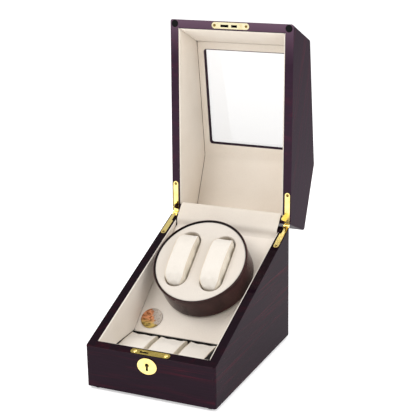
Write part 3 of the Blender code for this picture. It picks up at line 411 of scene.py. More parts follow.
def lacquer(name, turn, move, dark, red, coat, rim):
    """Gloss lacquer over streaked wood: the grain runs across the ends and along the sides.

    rim says which way the edge that meets the other half faces, the tone painted on it, and how much of the
    tone it takes from one distance behind the front to another. The tone is painted light: painted shade on
    the base's rim tops and a painted reflection near the front end of the lid's rim.
    """
    made = Finish(name, roughness=0.38, specular_ior_level=0.0, coat_weight=coat, coat_roughness=0.035)
    spot = made.place(turn, move)
    normal = made.add("TexCoord", "Normal")
    normal = made.add("Mapping", 0, {"Vector": normal, "Rotation": (turn, 0, 0)}, vector_type="NORMAL")
    is_side = made.math("LESS_THAN", made.math("ABSOLUTE", made.part(normal, "Y")), 0.7)

    lean = (math.radians(6), 0, 0)
    along = made.add("Mapping", 0, {"Vector": spot, "Rotation": lean, "Scale": (60.0, 7.0, 230.0)})
    across = made.add("Mapping", 0, {"Vector": spot, "Scale": (8.0, 210.0, 210.0)})
    fine_place = made.mix(is_side, across, along)
    broad_place = made.add("VectorMath", 0, {0: fine_place, 1: (0.22, 0.22, 0.22)}, operation="MULTIPLY")
    grain = made.noise(fine_place, 1.0, 5.0, 0.55, 0.5)
    broad = made.noise(broad_place, 1.0, 2.0, 0.5, 0.4)
    streak = made.math("MULTIPLY", made.remap(grain, 0.50, 0.72), made.remap(broad, 0.42, 0.62))
    colour = made.mix(streak, tone(*dark), tone(*red))
    shade = made.remap(made.noise(fine_place, 3.1, 4.0, 0.6), 0.35, 0.62)
    colour = made.mix(made.math("MULTIPLY", shade, 0.45), colour, tone(*[c * 0.55 for c in dark]))

    # Painted light on the rim faces: painted shade on the base's rim tops, a painted reflection near the
    # front of the lid's rim
    rim_side, painted_rim_tone, far, near, least, most = rim
    painted_rim_faces = made.remap(made.math("MULTIPLY", made.part(normal, "Z"), rim_side), 0.7, 0.9)
    share = made.math("POWER", made.remap(made.part(spot, "Y"), far, near, least, most), 2.4)
    made.set("Base Color", made.mix(made.math("MULTIPLY", painted_rim_faces, share), colour, tone(*painted_rim_tone)))

    drift = made.noise(spot, 9.0, 2.0)
    made.set("Roughness", made.remap(drift, 0.3, 0.7, 0.34, 0.46))
    made.set("Coat Normal", made.bump(made.noise(spot, 55.0, 1.0), 0.00002))
    made.set("Normal", made.bump(grain, 0.00003))
    return made.material


def clouded(made, spot, colour, dark):
    """A tone that drifts a little to a darker one."""
    return made.mix(made.remap(made.noise(spot, 26.0, 3.0), 0.35, 0.65), tone(*colour), tone(*dark))


def smooth_lacquer(name, colour, coat):
    """Plain gloss lacquer with a little ripple."""
    made = Finish(name, specular_ior_level=0.02, coat_weight=coat, coat_roughness=0.04)
    spot = made.place()
    made.set("Base Color", clouded(made, spot, colour, [c * 0.72 for c in colour]))
    made.set("Roughness", made.remap(made.noise(spot, 900.0, 2.0), 0.3, 0.7, 0.12, 0.19))
    made.set("Coat Normal", made.bump(made.noise(spot, 70.0, 1.0), 0.00002))
    return made.material


def ring_lacquer():
    """The drum's brown, black at its inner edge, and a fine black line round its side under the top: painted
    shade of a groove.
    """
    made = Finish("ring_lacquer", specular_ior_level=0.02, coat_weight=0.22, coat_roughness=0.04)
    spot = made.place(-DECK_ANGLE, tuple(SPIN.inverted().to_translation()))
    flat = made.place(scale=(1.0, 1.0, 0.0), source=spot)
    radius = made.add("VectorMath", "Value", {0: flat}, operation="LENGTH")
    height = made.part(spot, "Z")
    # Painted shade of a groove: a fine black band round the ring's side under its top; the black at the inner
    # edge is the ring's own
    above = made.remap(height, RING_TOP - GROOVE_SHADE_BOTTOM - LINE_BLUR, RING_TOP - GROOVE_SHADE_BOTTOM)
    below = made.remap(height, RING_TOP - GROOVE_SHADE_TOP + LINE_BLUR, RING_TOP - GROOVE_SHADE_TOP)
    edge = RING_INSIDE + RING_BLACK
    line = made.remap(radius, edge + LINE_BLUR, edge - LINE_BLUR)
    line = made.math("MAXIMUM", made.math("MULTIPLY", above, below), line)
    brown = clouded(made, spot, (70, 45, 44), (52, 33, 33))
    black = clouded(made, spot, (13, 8, 9), (8, 5, 6))
    made.set("Base Color", made.mix(line, brown, black))
    made.set("Roughness", made.remap(made.noise(spot, 900.0, 2.0), 0.3, 0.7, 0.10, 0.17))
    made.set("Coat Normal", made.bump(made.noise(spot, 70.0, 1.0), 0.00002))
    return made.material


def leatherette(name, colour, dark, grain=1500.0, depth=0.00006, sheen=0.25, roughness=0.62):
    """Soft pale covering with a fine pebbled grain and slight clouding."""
    made = Finish(name, sheen_weight=sheen, sheen_roughness=0.45, specular_ior_level=0.25)
    spot = made.place()
    cloud = made.noise(spot, 14.0, 4.0, 0.55)
    pebble = made.cells(spot, grain)
    pore = made.noise(spot, grain * 1.9, 3.0, 0.6)
    amount = made.remap(cloud, 0.30, 0.70, 0.0, 0.75)
    colour_now = made.mix(amount, tone(*colour), tone(*dark))
    # The colour is darker towards the edges of the grain's cells
    cell_edge_darkening = made.remap(pebble, 0.25, 0.75, 0.0, 0.16)
    colour_now = made.mix(cell_edge_darkening, colour_now, tone(*[c * 0.78 for c in dark]))
    made.set("Base Color", colour_now)
    made.set("Roughness", made.remap(pore, 0.3, 0.7, roughness, roughness + 0.16))
    height = made.math("ADD", pebble, made.math("MULTIPLY", pore, 0.5))
    made.set("Normal", made.bump(height, depth))
    return made.material


def flock(name, colour, dark, sheen):
    """Short-pile cloth: a nap of fine fibres with brushed patches."""
    made = Finish(name, sheen_weight=sheen, sheen_roughness=0.35, specular_ior_level=0.1)
    spot = made.place()
    nap = made.noise(spot, 2600.0, 3.0, 0.7)
    brushed = made.noise(made.place(scale=(1.0, 2.2, 1.4), source=spot), 22.0, 4.0, 0.6, 0.6)
    amount = made.math("ADD", made.remap(nap, 0.3, 0.7, 0.0, 0.35), made.remap(brushed, 0.35, 0.65, 0.0, 0.5))
    made.set("Base Color", made.mix(amount, tone(*colour), tone(*dark)))
    made.set("Roughness", made.remap(brushed, 0.3, 0.7, 0.82, 0.97))
    made.set("Normal", made.bump(nap, 0.00010))
    return made.material


def metal(name, colour, dull, roughness, scratch=(40.0, 900.0, 900.0), bump=0.00001):
    """Polished metal with hairline scratches and a little tarnish."""
    made = Finish(name, metallic=1.0)
    spot = made.place()
    lines = made.noise(made.place(scale=scratch, source=spot), 1.0, 4.0, 0.65, 0.2)
    cloud = made.noise(spot, 130.0, 4.0, 0.6)
    made.set("Base Color", made.mix(made.remap(cloud, 0.42, 0.72, 0.0, 0.7), tone(*colour), tone(*dull)))
    wear = made.math("ADD", made.remap(lines, 0.35, 0.7, 0.0, 0.12), made.remap(cloud, 0.4, 0.7, 0.0, 0.06))
    made.set("Roughness", made.math("ADD", wear, roughness))
    made.set("Normal", made.bump(lines, bump))
    return made.material


def plastic(name, colour, roughness=0.42, grain=1200.0, depth=0.00004, gloss=0.45):
    """Moulded plastic or rubber with a fine grain."""
    made = Finish(name, specular_ior_level=gloss)
    spot = made.place()
    texture = made.noise(spot, grain, 3.0, 0.6)
    cloud = made.noise(spot, 40.0, 2.0)
    made.set("Base Color", made.mix(made.remap(cloud, 0.3, 0.7, 0.0, 0.5), tone(*colour),
                                    tone(*[c * 0.7 + 4 for c in colour])))
    made.set("Roughness", made.remap(texture, 0.3, 0.7, roughness - 0.06, roughness + 0.12))
    made.set("Normal", made.bump(texture, depth))
    return made.material


def glass():
    """Clear glass with faint smears and painted shade: a little greyer towards the window's end next to the
    top panel.
    """
    made = Finish("clear_glass", transmission_weight=1.0, ior=1.45)
    slope = made.place(-(SLOPE_ANGLE - OPEN_ANGLE), tuple(SLOPE.inverted().to_translation()))
    # Painted shade: the colour greys from the window's start to its end next to the top panel
    painted_shade_amount = made.remap(made.part(slope, "Y"), WINDOW_START, WINDOW_END)
    made.set("Base Color", made.mix(painted_shade_amount, tone(240, 239, 238), tone(208, 207, 206)))
    smear = made.noise(made.place(scale=(1.0, 2.5, 1.0)), 18.0, 3.0, 0.6)
    made.set("Roughness", made.remap(smear, 0.45, 0.75, 0.0, 0.03))
    made.set("Normal", made.bump(made.noise(made.place(), 6.0, 1.0), 0.00001))
    return made.material


def circuit():
    """Green board with paler tracks and small pale parts."""
    made = Finish("circuit_board", specular_ior_level=0.5)
    spot = made.place()
    board = made.cells(spot, 260.0)
    tracks = made.math("GREATER_THAN", made.noise(spot, 420.0, 1.0), 0.56)
    colour = made.mix(tracks, tone(20, 92, 52), tone(38, 128, 74))
    made.set("Base Color", made.mix(made.remap(board, 0.0, 0.25, 0.5, 0.0), colour, tone(190, 188, 170)))
    made.set("Roughness", made.remap(board, 0.1, 0.5, 0.28, 0.5))
    made.set("Normal", made.bump(tracks, 0.00004))
    return made.material


def printed():
    """A generic printed disc: warm metallic arcs that fade into fine grey rings."""
    made = Finish("printed_disc", metallic=0.35, coat_weight=0.8, coat_roughness=0.05)
    back = (DECK @ shift(*MEDALLION, 0.0)).inverted()
    spot = made.add("TexCoord", "Object")
    mapping = {"Vector": spot, "Rotation": back.to_euler(), "Location": back.to_translation()}
    spot = made.add("Mapping", 0, mapping)
    wave = {"Vector": spot, "Scale": 420.0, "Distortion": 1.5, "Detail": 2.0, "Detail Scale": 60.0}
    rings = made.add("TexWave", "Fac", wave, wave_type="RINGS", rings_direction="Z")
    sweep = made.noise(made.place(scale=(1.0, 1.6, 1.0), source=spot), 95.0, 3.0, 0.5, 1.6)
    across = made.part(spot, "X")
    up = made.part(spot, "Y")
    lit = made.remap(sweep, 0.38, 0.60)
    warm = made.mix(lit, tone(150, 78, 26), tone(236, 160, 108))
    olive = made.mix(lit, tone(120, 96, 30), tone(196, 168, 74))
    warm = made.mix(made.remap(up, -0.009, -0.001, 1.0, 0.0), warm, olive)
    grey = made.mix(made.remap(rings, 0.3, 0.7), tone(206, 196, 184), tone(110, 92, 78))
    edge = made.math("ADD", across, made.remap(sweep, 0.3, 0.7, -0.006, 0.006))
    edge = made.math("ADD", edge, made.math("MULTIPLY", up, 0.6))
    made.set("Base Color", made.mix(made.remap(edge, 0.0030, 0.0042), warm, grey))
    made.set("Roughness", made.remap(sweep, 0.3, 0.7, 0.22, 0.42))
    made.set("Normal", made.bump(rings, 0.00003))
    return made.material


CASE_MOVE = (0.0, CENTRE_Y, 0.0)
# Painted shade: the base's rim tops darkened nearly to black, more towards the back
CASE_RIM_PAINTED_SHADE = (1, (13, 5, 8), 0.25, 0.0, 0.86, 0.72)
LID_MOVE = tuple(LID.inverted().to_translation())
# Painted reflection: the lid's rim faces lightened to a pale purple near the lid's front end
LID_RIM_PAINTED_REFLECTION = (-1, (92, 70, 86), 0.050, 0.002, 0.42, 1.0)
MATERIALS = {
    "case_lacquer": lacquer("case_lacquer", 0.0, CASE_MOVE, (33, 14, 28), (76, 12, 32), 0.20, CASE_RIM_PAINTED_SHADE),
    "lid_lacquer": lacquer("lid_lacquer", OPEN_ANGLE, LID_MOVE, (38, 16, 35), (76, 14, 38), 0.18, LID_RIM_PAINTED_REFLECTION),
    "cream": leatherette("cream_lining", (245, 236, 225), (235, 225, 212)),
    "lid_cream": leatherette("lid_lining", (238, 229, 217), (227, 216, 202)),
    "pillow": leatherette("cushion_cover", (232, 226, 217), (222, 214, 203), 1900.0, 0.00005, 0.3, 0.7),
    # Painted light: the cushions' side panels take a lighter copy of the cover's cream, to lift the shade
    # that falls on them between the pillows
    "gusset": leatherette("cushion_sides_painted_light", (246, 238, 222), (234, 223, 204), 1900.0, 0.00005, 0.3, 0.7),
    "piping": leatherette("cushion_piping", (226, 214, 196), (204, 188, 166), 1700.0, 0.00004, 0.2, 0.6),
    # Painted shade: the flap takes a darker copy of the lining's cream, to offset the light from the top
    "flap": leatherette("flap_cloth", (231, 222, 210), (220, 209, 196), 1700.0, 0.00004, 0.3, 0.7),
    # Painted shade: the turntable face takes a darker copy of the lining's cream, to offset the light that
    # falls on it
    "face": leatherette("face_cover_painted_shade", (220, 212, 202), (211, 202, 191), 1700.0, 0.00004, 0.2, 0.6),
    "wells": flock("well_flock", (226, 214, 196), (206, 192, 172), 0.6),
    # Painted shadow: the pillow tray is near-black so that the gaps round the pillows read as shadow
    "tray": flock("tray_flock_painted_shadow", (26, 21, 20), (14, 11, 11), 0.5),
    "board": plastic("floor_board", (44, 38, 36), 0.7, 500.0, 0.00010),
    "drum": smooth_lacquer("drum_lacquer", (70, 45, 45), 0.24),
    "ring": ring_lacquer(),
    "brass": metal("polished_brass", (250, 228, 150), (232, 198, 108), 0.10),
    "pale_brass": metal("pale_brass", (250, 240, 200), (234, 214, 156), 0.14),
    "olive_brass": metal("aged_brass", (190, 168, 92), (132, 110, 50), 0.18),
    "screw_brass": metal("screw_brass", (150, 124, 66), (96, 76, 38), 0.22),
    "steel": metal("plated_steel", (188, 188, 192), (150, 150, 154), 0.20),
    "rubber": plastic("black_rubber", (9, 9, 10), 0.62, 900.0, 0.00006, 0.12),
    "nylon": plastic("white_nylon", (222, 220, 212), 0.4, 700.0, 0.00003),
    "plastic": plastic("black_plastic", (26, 26, 28)),
    "print": plastic("pale_print", (206, 206, 200), 0.5, 900.0, 0.00002, 0.3),
    "wire": plastic("red_wire", (170, 26, 22), 0.35, 600.0, 0.00002),
    "glass": glass(),
    "circuit": circuit(),
    "disc": printed(),
}

CAD_FINISH = {
    "base_carcass": "case_lacquer", "base_floor": "board", "lid_shell": "lid_lacquer",
    "window_pane": "glass", "pillow_tray": "tray", "medallion": "disc",
    "turntable_drum": "drum", "turntable_ring": "ring", "turntable_face": "face",
    "turntable_wells": "wells", "turntable_shaft": "steel", "turntable_pulley": "nylon",
    "drive_pulley": "nylon", "deck_bush": "nylon", "drive_belt": "rubber",
    "motor_bracket": "steel", "motor_gearbox": "steel", "motor_can": "steel", "motor_lead": "wire",
    "control_board": "circuit", "control_plate": "plastic", "power_jack": "plastic",
    "power_rocker": "plastic", "mode_knob": "plastic",
    "lock_plate": "olive_brass", "strike_plate": "pale_brass", "escutcheon": "brass",
    "lock_case": "steel", "lock_cam": "brass", "lock_bolt": "steel",
    "lid_bumper_left": "rubber", "lid_bumper_right": "rubber",
    "hinge_pin_left": "steel", "hinge_pin_right": "steel",
    "hinge_screw_base_left": "screw_brass", "hinge_screw_base_right": "screw_brass",
    "hinge_screw_lid_left": "screw_brass", "hinge_screw_lid_right": "screw_brass",
}


def finish_cad_nodes():
    """Each CAD piece takes its own finish, or the one that belongs to the first word of its name."""
    default = {"hinge": "brass", "foot": "rubber", "lid": "lid_cream", "base": "cream",
               "deck": "cream", "storage": "pillow", "winder": "pillow"}
    for name, obj in NODES.items():
        key = CAD_FINISH.get(name) or default[name.split("_")[0]]
        obj.data.materials.clear()
        obj.data.materials.append(MATERIALS[key])


# ---------------------------------------------------------------- mesh building


def dense(loop, step):
    """The loop with its long edges split into pieces no longer than step."""
    made = []
    for a, b in zip(loop, loop[1:] + loop[:1]):
        count = max(1, math.ceil(math.dist(a, b) / step))
        made += [(a[0] + (b[0] - a[0]) * i / count, a[1] + (b[1] - a[1]) * i / count) for i in range(count)]
    return made


def arc(cx, cy, radius, start, end, steps):
    angles = [math.radians(start + (end - start) * i / steps) for i in range(steps + 1)]
    return [(cx + radius * math.cos(a), cy + radius * math.sin(a)) for a in angles]


def circle(cx, cy, radius, count):
    return arc(cx, cy, radius, 0, 360 - 360 / count, count - 1)


def rounded_rectangle(width, height, radius, cx=0.0, cy=0.0, steps=6):
    x = width / 2 - radius
    y = height / 2 - radius
    corners = ((x, y, 0), (-x, y, 90), (-x, -y, 180), (x, -y, 270))
    return [p for ox, oy, a in corners for p in arc(cx + ox, cy + oy, radius, a, a + 90, steps)]


def edge_distance(points, loops):
    """How far each point is from the nearest edge of the loops."""
    best = np.full(len(points), 1.0)
    for loop in loops:
        ends = np.array(loop)
        for a, b in zip(ends, np.roll(ends, -1, axis=0)):
            span = b - a
            share = np.clip(((points - a) @ span) / max(span @ span, 1e-12), 0, 1)
            best = np.minimum(best, np.linalg.norm(points - a - share[:, None] * span, axis=1))
    return best


def inside(points, loop):
    """Which points lie inside the loop, by counting crossings."""
    x, y = points.T
    odd = np.zeros(len(points), bool)
    for (ax, ay), (bx, by) in zip(loop, loop[1:] + loop[:1]):
        if ay != by:
            odd ^= ((ay > y) != (by > y)) & (x < (bx - ax) * (y - ay) / (by - ay) + ax)
    return odd


def within(points, loops):
    kept = inside(points, loops[0])
    for hole in loops[1:]:
        kept &= ~inside(points, hole)
    return kept


def triangulate(loops, cell):
    """Points and triangles over an outline with holes, with finer rows of points along the edges."""
    loops = [dense(loop, cell) for loop in loops]
    fixed = [p for loop in loops for p in loop]
    edges = []
    for loop in loops:
        first = len(edges)
        edges += [(first + i, first + (i + 1) % len(loop)) for i in range(len(loop))]
    spare = []
    for loop in loops:
        ring = np.array(loop)
        ahead = np.roll(ring, -1, axis=0) - np.roll(ring, 1, axis=0)
        normal = np.stack([-ahead[:, 1], ahead[:, 0]], axis=1)
        normal /= np.linalg.norm(normal, axis=1)[:, None]
        for step in ROLL_STEPS:
            for side in (-1, 1):
                row = ring + side * step * normal
                spare.append(row[edge_distance(row, loops) > ROW_KEPT * step])
    low = np.array(loops[0]).min(axis=0)
    high = np.array(loops[0]).max(axis=0)
    rows = np.arange(low[1], high[1], cell * GRID_ROWS)
    columns = np.arange(low[0], high[0], cell)
    grid = np.array([(x + cell * (n % 2) / 2, y) for n, y in enumerate(rows) for x in columns])
    spare.append(grid[edge_distance(grid, loops) > ROLL_STEPS[-1] + GRID_KEPT * cell])
    spare = np.concatenate(spare)
    spare = spare[within(spare, loops)]
    flat = [Vector(p) for p in fixed] + [Vector(p) for p in spare.tolist()]
    points, _, faces, *_ = delaunay_2d_cdt(flat, edges, [], 0, 1e-6)
    points = np.array([tuple(p) for p in points])
    middles = np.array([points[list(f)].mean(axis=0) for f in faces])
    kept = within(middles, loops)
    return points, [list(f) for f, keep in zip(faces, kept) if keep], loops


def rim_edges(faces):
    """Edges that only one face uses, in that face's direction."""
    used = {(f[i], f[(i + 1) % len(f)]) for f in faces for i in range(len(f))}
    return [(a, b) for a, b in used if (b, a) not in used]


def closed(front, back, faces):
    """Points and faces of a solid between two copies of one patch."""
    count = len(front)
    solid = faces + [[count + i for i in reversed(f)] for f in faces]
    solid += [[b, a, count + a, count + b] for a, b in rim_edges(faces)]
    return front + back, solid


def rim_loop(faces):
    """The single outer rim of a patch, as point numbers in order."""
    following = dict(rim_edges(faces))
    start = min(following)
    loop = [start]
    while following[loop[-1]] != start:
        loop.append(following[loop[-1]])
    return loop


def make_object(name, points, faces, finishes, marks=None, crisp=60.0):
    """A mesh object from world points; marks gives each face's place in the list of finishes."""
    mesh = bpy.data.meshes.new(name)
    mesh.from_pydata([tuple(p) for p in points], [], faces)
    for finish in finishes:
        mesh.materials.append(MATERIALS[finish])
    if marks is not None:
        mesh.polygons.foreach_set("material_index", marks)
    tidy = bmesh.new()
    tidy.from_mesh(mesh)
    bmesh.ops.recalc_face_normals(tidy, faces=tidy.faces)
    tidy.to_mesh(mesh)
    tidy.free()
    mesh.polygons.foreach_set("use_smooth", [True] * len(mesh.polygons))
    mesh.set_sharp_from_angle(angle=math.radians(crisp))
    obj = bpy.data.objects.new(name, mesh)
    bpy.context.scene.collection.objects.link(obj)
    return obj


class Route:
    """A path in a YZ plane with its corners rounded, read by the distance along it."""

    def __init__(self, corners, reach):
        corners = [Vector(c) for c in corners]
        points = [corners[0]]
        for before, corner, after in zip(corners, corners[1:], corners[2:]):
            start = corner + (before - corner).normalized() * reach
            end = corner + (after - corner).normalized() * reach
            for i in range(BEND_STEPS + 1):
                t = i / BEND_STEPS
                points.append((1 - t) ** 2 * start + 2 * (1 - t) * t * corner + t * t * end)
        points.append(corners[-1])
        self.points = points
        self.marks = [0.0]
        for a, b in zip(points, points[1:]):
            self.marks.append(self.marks[-1] + (b - a).length)
        self.length = self.marks[-1]

    def spot(self, distance):
        index = min(max(bisect.bisect_right(self.marks, distance) - 1, 0), len(self.points) - 2)
        span = self.marks[index + 1] - self.marks[index]
        return self.points[index].lerp(self.points[index + 1], (distance - self.marks[index]) / span)

    def left(self, distance):
        """The unit normal on the left of the way along."""
        way = self.spot(distance + PROBE) - self.spot(distance - PROBE)
        return Vector((-way.y, way.x)).normalized()


# ---------------------------------------------------------------- padded panels

def pad(name, loops, thick, place, nodes, body, finish, cell=0.004, roll=0.0009, crown=0.00035, wave=0.00022):
    """A covered board: a soft face with rolled edges, faint waves and small puckers beside the edges."""
    points, faces, loops = triangulate(loops, cell)
    gaps = edge_distance(points, loops)
    # each panel reads its own stretch of the noise
    seed = len(name) * 3.7 + loops[0][0][0] * 100
    front = []
    for (u, v), gap in zip(points.tolist(), gaps.tolist()):
        rest = max(0.0, roll - gap)
        drop = roll - math.sqrt(max(0.0, roll * roll - rest * rest)) + crown * math.exp(-gap / CROWN_REACH)
        slow = 0.5 + 0.5 * noise.noise(Vector((u * SLOW_WAVES, v * SLOW_WAVES, seed)))
        quick = 0.5 + 0.5 * noise.noise(Vector((u * QUICK_WAVES, v * QUICK_WAVES, seed + 5)))
        drop += wave * slow + QUICK_SHARE * wave * quick * math.exp(-gap / PUCKER_REACH)
        front.append(place(u, v, max(thick - drop, thick * LEAST_THICK)))
    back = [place(u, v, 0.0) for u, v in points.tolist()]
    obj = make_object(name, *closed(front, back, faces), [finish])
    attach(obj, body)
    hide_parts(*nodes)
    return obj


def rim_height(y):
    """How high the base's rim is at y."""
    return FRONT_RIM + y * math.tan(RIM_ANGLE)


def slope_height(y, depth):
    """How high a layer under the shut lid's slope is at y; depth is how far under."""
    return FRONT_TOP + y * math.tan(SLOPE_ANGLE) - depth / math.cos(SLOPE_ANGLE)


def slope_reach(z, depth):
    """Where that layer reaches the height z."""
    return (z - FRONT_TOP + depth / math.cos(SLOPE_ANGLE)) / math.tan(SLOPE_ANGLE)


def side_place(owner, sign):
    """Puts a side panel's outline against the left or the right wall."""
    wall = INSIDE_X - FIT
    return lambda y, z, w: owner @ Vector((sign * (wall - w), y, z))


def add_base_pads():
    front = END_WALL + FIT
    back = INSIDE_BACK - FIT
    ledge = DECK_FRONT_HEIGHT + CLEAR
    rise = (back - DECK_FRONT) * math.tan(DECK_ANGLE)
    side = [(front, ledge), (DECK_FRONT, ledge), (back, ledge + rise)]
    side += [(back, rim_height(back) - CLEAR), (front, rim_height(front) - CLEAR)]
    for label, sign in (("left", -1), ("right", 1)):
        pad(f"base_pad_{label}", [side], LINING, side_place(BASE, sign), ["base_lining"], "case", "cream")
    reach = INSIDE_X - FIT - LINING - FIT
    top = rim_height(front) - CLEAR
    face = [(-reach, ledge), (reach, ledge), (reach, top), (-reach, top)]
    pad("base_pad_front", [face], LINING, lambda x, z, w: BASE @ Vector((x, front + w, z)),
        ["base_lining"], "case", "cream")


def add_deck_pad():
    reach = INSIDE_X - CLEAR
    end = (INSIDE_BACK - CLEAR - DECK_THICK * math.sin(DECK_ANGLE) - DECK_FRONT) / math.cos(DECK_ANGLE)
    board = [(-reach, FIT), (reach, FIT), (reach, end), (-reach, end)]
    hole = circle(0, TURNTABLE_ALONG, BUSH_RADIUS + FIT, BUSH_STEPS)
    pad("deck_pad", [board, hole], DECK_THICK, lambda x, y, w: DECK @ Vector((x, y, w - DECK_THICK)),
        ["deck_panel"], "case", "cream", wave=0.00018, crown=0.0003)


def add_lid_pads():
    front = END_WALL + FIT
    back = INSIDE_BACK - FIT
    deep = LID_PANEL + FIT
    ceiling = CLOSED_HEIGHT - deep
    low = RIM_GAP + CLEAR
    section = [(front, rim_height(front) + low), (back, rim_height(back) + low), (back, ceiling)]
    section += [(slope_reach(ceiling, deep), ceiling), (front, slope_height(front, deep))]
    for label, sign in (("left", -1), ("right", 1)):
        pad(f"lid_pad_{label}", [section], LINING, side_place(LID, sign), [f"lid_lining_{label}"],
            "lid", "lid_cream", roll=LID_ROLL)
    reach = INSIDE_X - FIT - LINING - HAIR
    bottom = rim_height(front + LINING) + RIM_GAP + EDGE_CLEAR
    top = slope_height(front, deep + LINING) - HEAD_CLEAR
    face = [(-reach, bottom), (reach, bottom), (reach, top), (-reach, top)]
    pad("lid_pad_front", [face], LINING, lambda x, z, w: LID @ Vector((x, front + w, z)),
        ["lid_lining_front"], "lid", "lid_cream", roll=LID_ROLL)
    add_window_pad(reach, ceiling, back, deep)


def add_window_pad(reach, ceiling, back, deep):
    """One covered board round the window, over the ceiling and down the back of the lid."""
    inner = deep + LINING
    start = SLOPE_START * math.cos(SLOPE_ANGLE) + inner * math.sin(SLOPE_ANGLE)
    level = ceiling - LINING
    wall = back - LINING
    corners = [(start, slope_height(start, inner)), (slope_reach(level, inner), level)]
    corners += [(wall, level), (wall, rim_height(back) + RIM_GAP + EDGE_CLEAR)]
    route = Route(corners, WINDOW_BEND)

    def place(x, along, w):
        spot = route.spot(along) + route.left(along) * (LINING - w)
        return LID @ Vector((x, spot.x, spot.y))

    board = [(-reach, 0.0), (reach, 0.0), (reach, route.length), (-reach, route.length)]
    width = 2 * (WINDOW_HALF_WIDTH + WINDOW_REVEAL)
    height = WINDOW_END - WINDOW_START + 2 * WINDOW_REVEAL
    middle = (WINDOW_START + WINDOW_END) / 2 - SLOPE_START
    hole = rounded_rectangle(width, height, WINDOW_CORNER + WINDOW_REVEAL, 0.0, middle)
    pad("lid_pad_window", [board, hole], LINING, place, ["lid_lining_window", "lid_lining_top"],
        "lid", "lid_cream", cell=0.0035, roll=LID_ROLL)


def add_face_pad():
    """The covered disc round the two wells of the turntable."""
    thick = FACE_TOP - FACE_BOTTOM
    loops = [circle(0, 0, RING_INSIDE - FIT, FACE_STEPS)]
    for x in (-WELL_X, WELL_X):
        loops.append(rounded_rectangle(*WELL_SIZE, WELL_CORNER, x, 0.0, WELL_STEPS))
    pad("face_pad", loops, thick, lambda x, y, w: SPIN @ Vector((x, y, FACE_BOTTOM + w)), ["turntable_face"],
        "turntable", "face", cell=0.003, roll=0.0010, crown=0.00022, wave=0.00014)


def add_flap():
    """The cloth strip from the top of the deck, up the back wall and over to the open lid."""
    fold = Vector(FLAP_FOLD)
    start = fold - FLAP_DECK * Vector((math.cos(DECK_ANGLE), math.sin(DECK_ANGLE)))
    route = Route([start, fold, FLAP_BEND, FLAP_CREST, FLAP_END], FLAP_ROUND)

    def place(x, along, w):
        ripple = FLAP_RIPPLE * noise.noise(Vector((x * FLAP_WAVES[0], along * FLAP_WAVES[1], 3.0)))
        spot = route.spot(along) + route.left(along) * (w - FLAP_THICK / 2 + ripple)
        return BASE @ Vector((x, spot.x, spot.y))

    strip = [(-FLAP_REACH, 0.0), (FLAP_REACH, 0.0), (FLAP_REACH, route.length), (-FLAP_REACH, route.length)]
    points, faces, _ = triangulate([strip], FLAP_CELL)
    front = [place(u, v, FLAP_THICK) for u, v in points.tolist()]
    back = [place(u, v, 0.0) for u, v in points.tolist()]
    obj = make_object("flap_cloth", *closed(front, back, faces), ["flap"])
    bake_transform(obj)
    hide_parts("hinge_flap")


# ---------------------------------------------------------------- cushions

def puff_up(obj, pinned, cap):
    """Cloth under pressure, held at its seams; no point moves further than cap."""
    group = obj.vertex_groups.new(name="seam")
    group.add(pinned, 1.0, "REPLACE")
    cloth = obj.modifiers.new("Cloth", "CLOTH")
    settings = cloth.settings
    settings.quality = CLOTH_QUALITY
    settings.mass = CLOTH_MASS
    settings.use_pressure = True
    settings.uniform_pressure_force = CLOTH_PRESSURE
    settings.vertex_group_mass = "seam"
    settings.shrink_min = CLOTH_SHRINK
    settings.effector_weights.gravity = 0
    cloth.collision_settings.use_collision = False
    for step in range(1, CLOTH_FRAMES + 1):
        bpy.context.scene.frame_set(step)
    seen = obj.evaluated_get(bpy.context.evaluated_depsgraph_get())
    moved = [v.co.copy() for v in seen.data.vertices]
    obj.modifiers.remove(cloth)
    for vertex, after in zip(obj.data.vertices, moved):
        step = after - vertex.co
        if step.length > cap:
            step *= cap / step.length
        vertex.co += step
    bpy.context.scene.frame_set(1)
    obj.vertex_groups.clear()


def tube_ring(points, radius, sides=8):
    """Corners and faces of a closed tube through the points."""
    count = len(points)
    made = []
    for i, point in enumerate(points):
        way = (points[(i + 1) % count] - points[i - 1]).normalized()
        across = way.cross(Vector((1, 0, 0))).normalized()
        other = way.cross(across)
        for k in range(sides):
            angle = 2 * math.pi * k / sides
            made.append(point + radius * (math.cos(angle) * across + math.sin(angle) * other))
    faces = []
    for i in range(count):
        for k in range(sides):
            a = i * sides + k
            b = i * sides + (k + 1) % sides
            shift_by = ((i + 1) % count - i) * sides
            faces.append([a, b, b + shift_by, a + shift_by])
    return made, faces


def cushion(name, node, body, owner, outline, half_width, cap, cell=0.0028, rows=12):
    """A band round the outline and a gusset at each side, blown up between corded seams."""
    points, faces, _ = triangulate([outline], cell)
    loop = rim_loop(faces)
    flat = points.tolist()
    count = len(flat)
    spots = [Vector((side * half_width(y), y, z)) for side in (-1, 1) for y, z in flat]
    rings = [loop]
    for row in range(1, rows):
        across = -1 + 2 * row / rows
        rings.append(list(range(len(spots), len(spots) + len(loop))))
        spots += [Vector((across * half_width(flat[i][0]), *flat[i])) for i in loop]
    rings.append([count + i for i in loop])
    solid = [list(reversed(f)) for f in faces] + [[count + i for i in f] for f in faces]
    marks = [GUSSET] * len(solid)
    for low, high in zip(rings, rings[1:]):
        for i, a in enumerate(low):
            j = (i + 1) % len(low)
            solid.append([a, low[j], high[j], high[i]])
    marks += [BAND] * (len(solid) - len(marks))
    obj = make_object(name, spots, solid, ["pillow", "gusset", "piping"], marks, crisp=180.0)
    puff_up(obj, rings[0] + rings[-1], cap)
    mesh = obj.data
    seams = [[mesh.vertices[i].co.copy() for i in ring] for ring in (rings[0], rings[-1])]
    add_piping(mesh, seams)
    mesh.transform(owner)
    obj.modifiers.new("soften", "SUBSURF").render_levels = 1
    obj.modifiers["soften"].levels = 1
    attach(obj, body)
    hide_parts(node)
    return obj


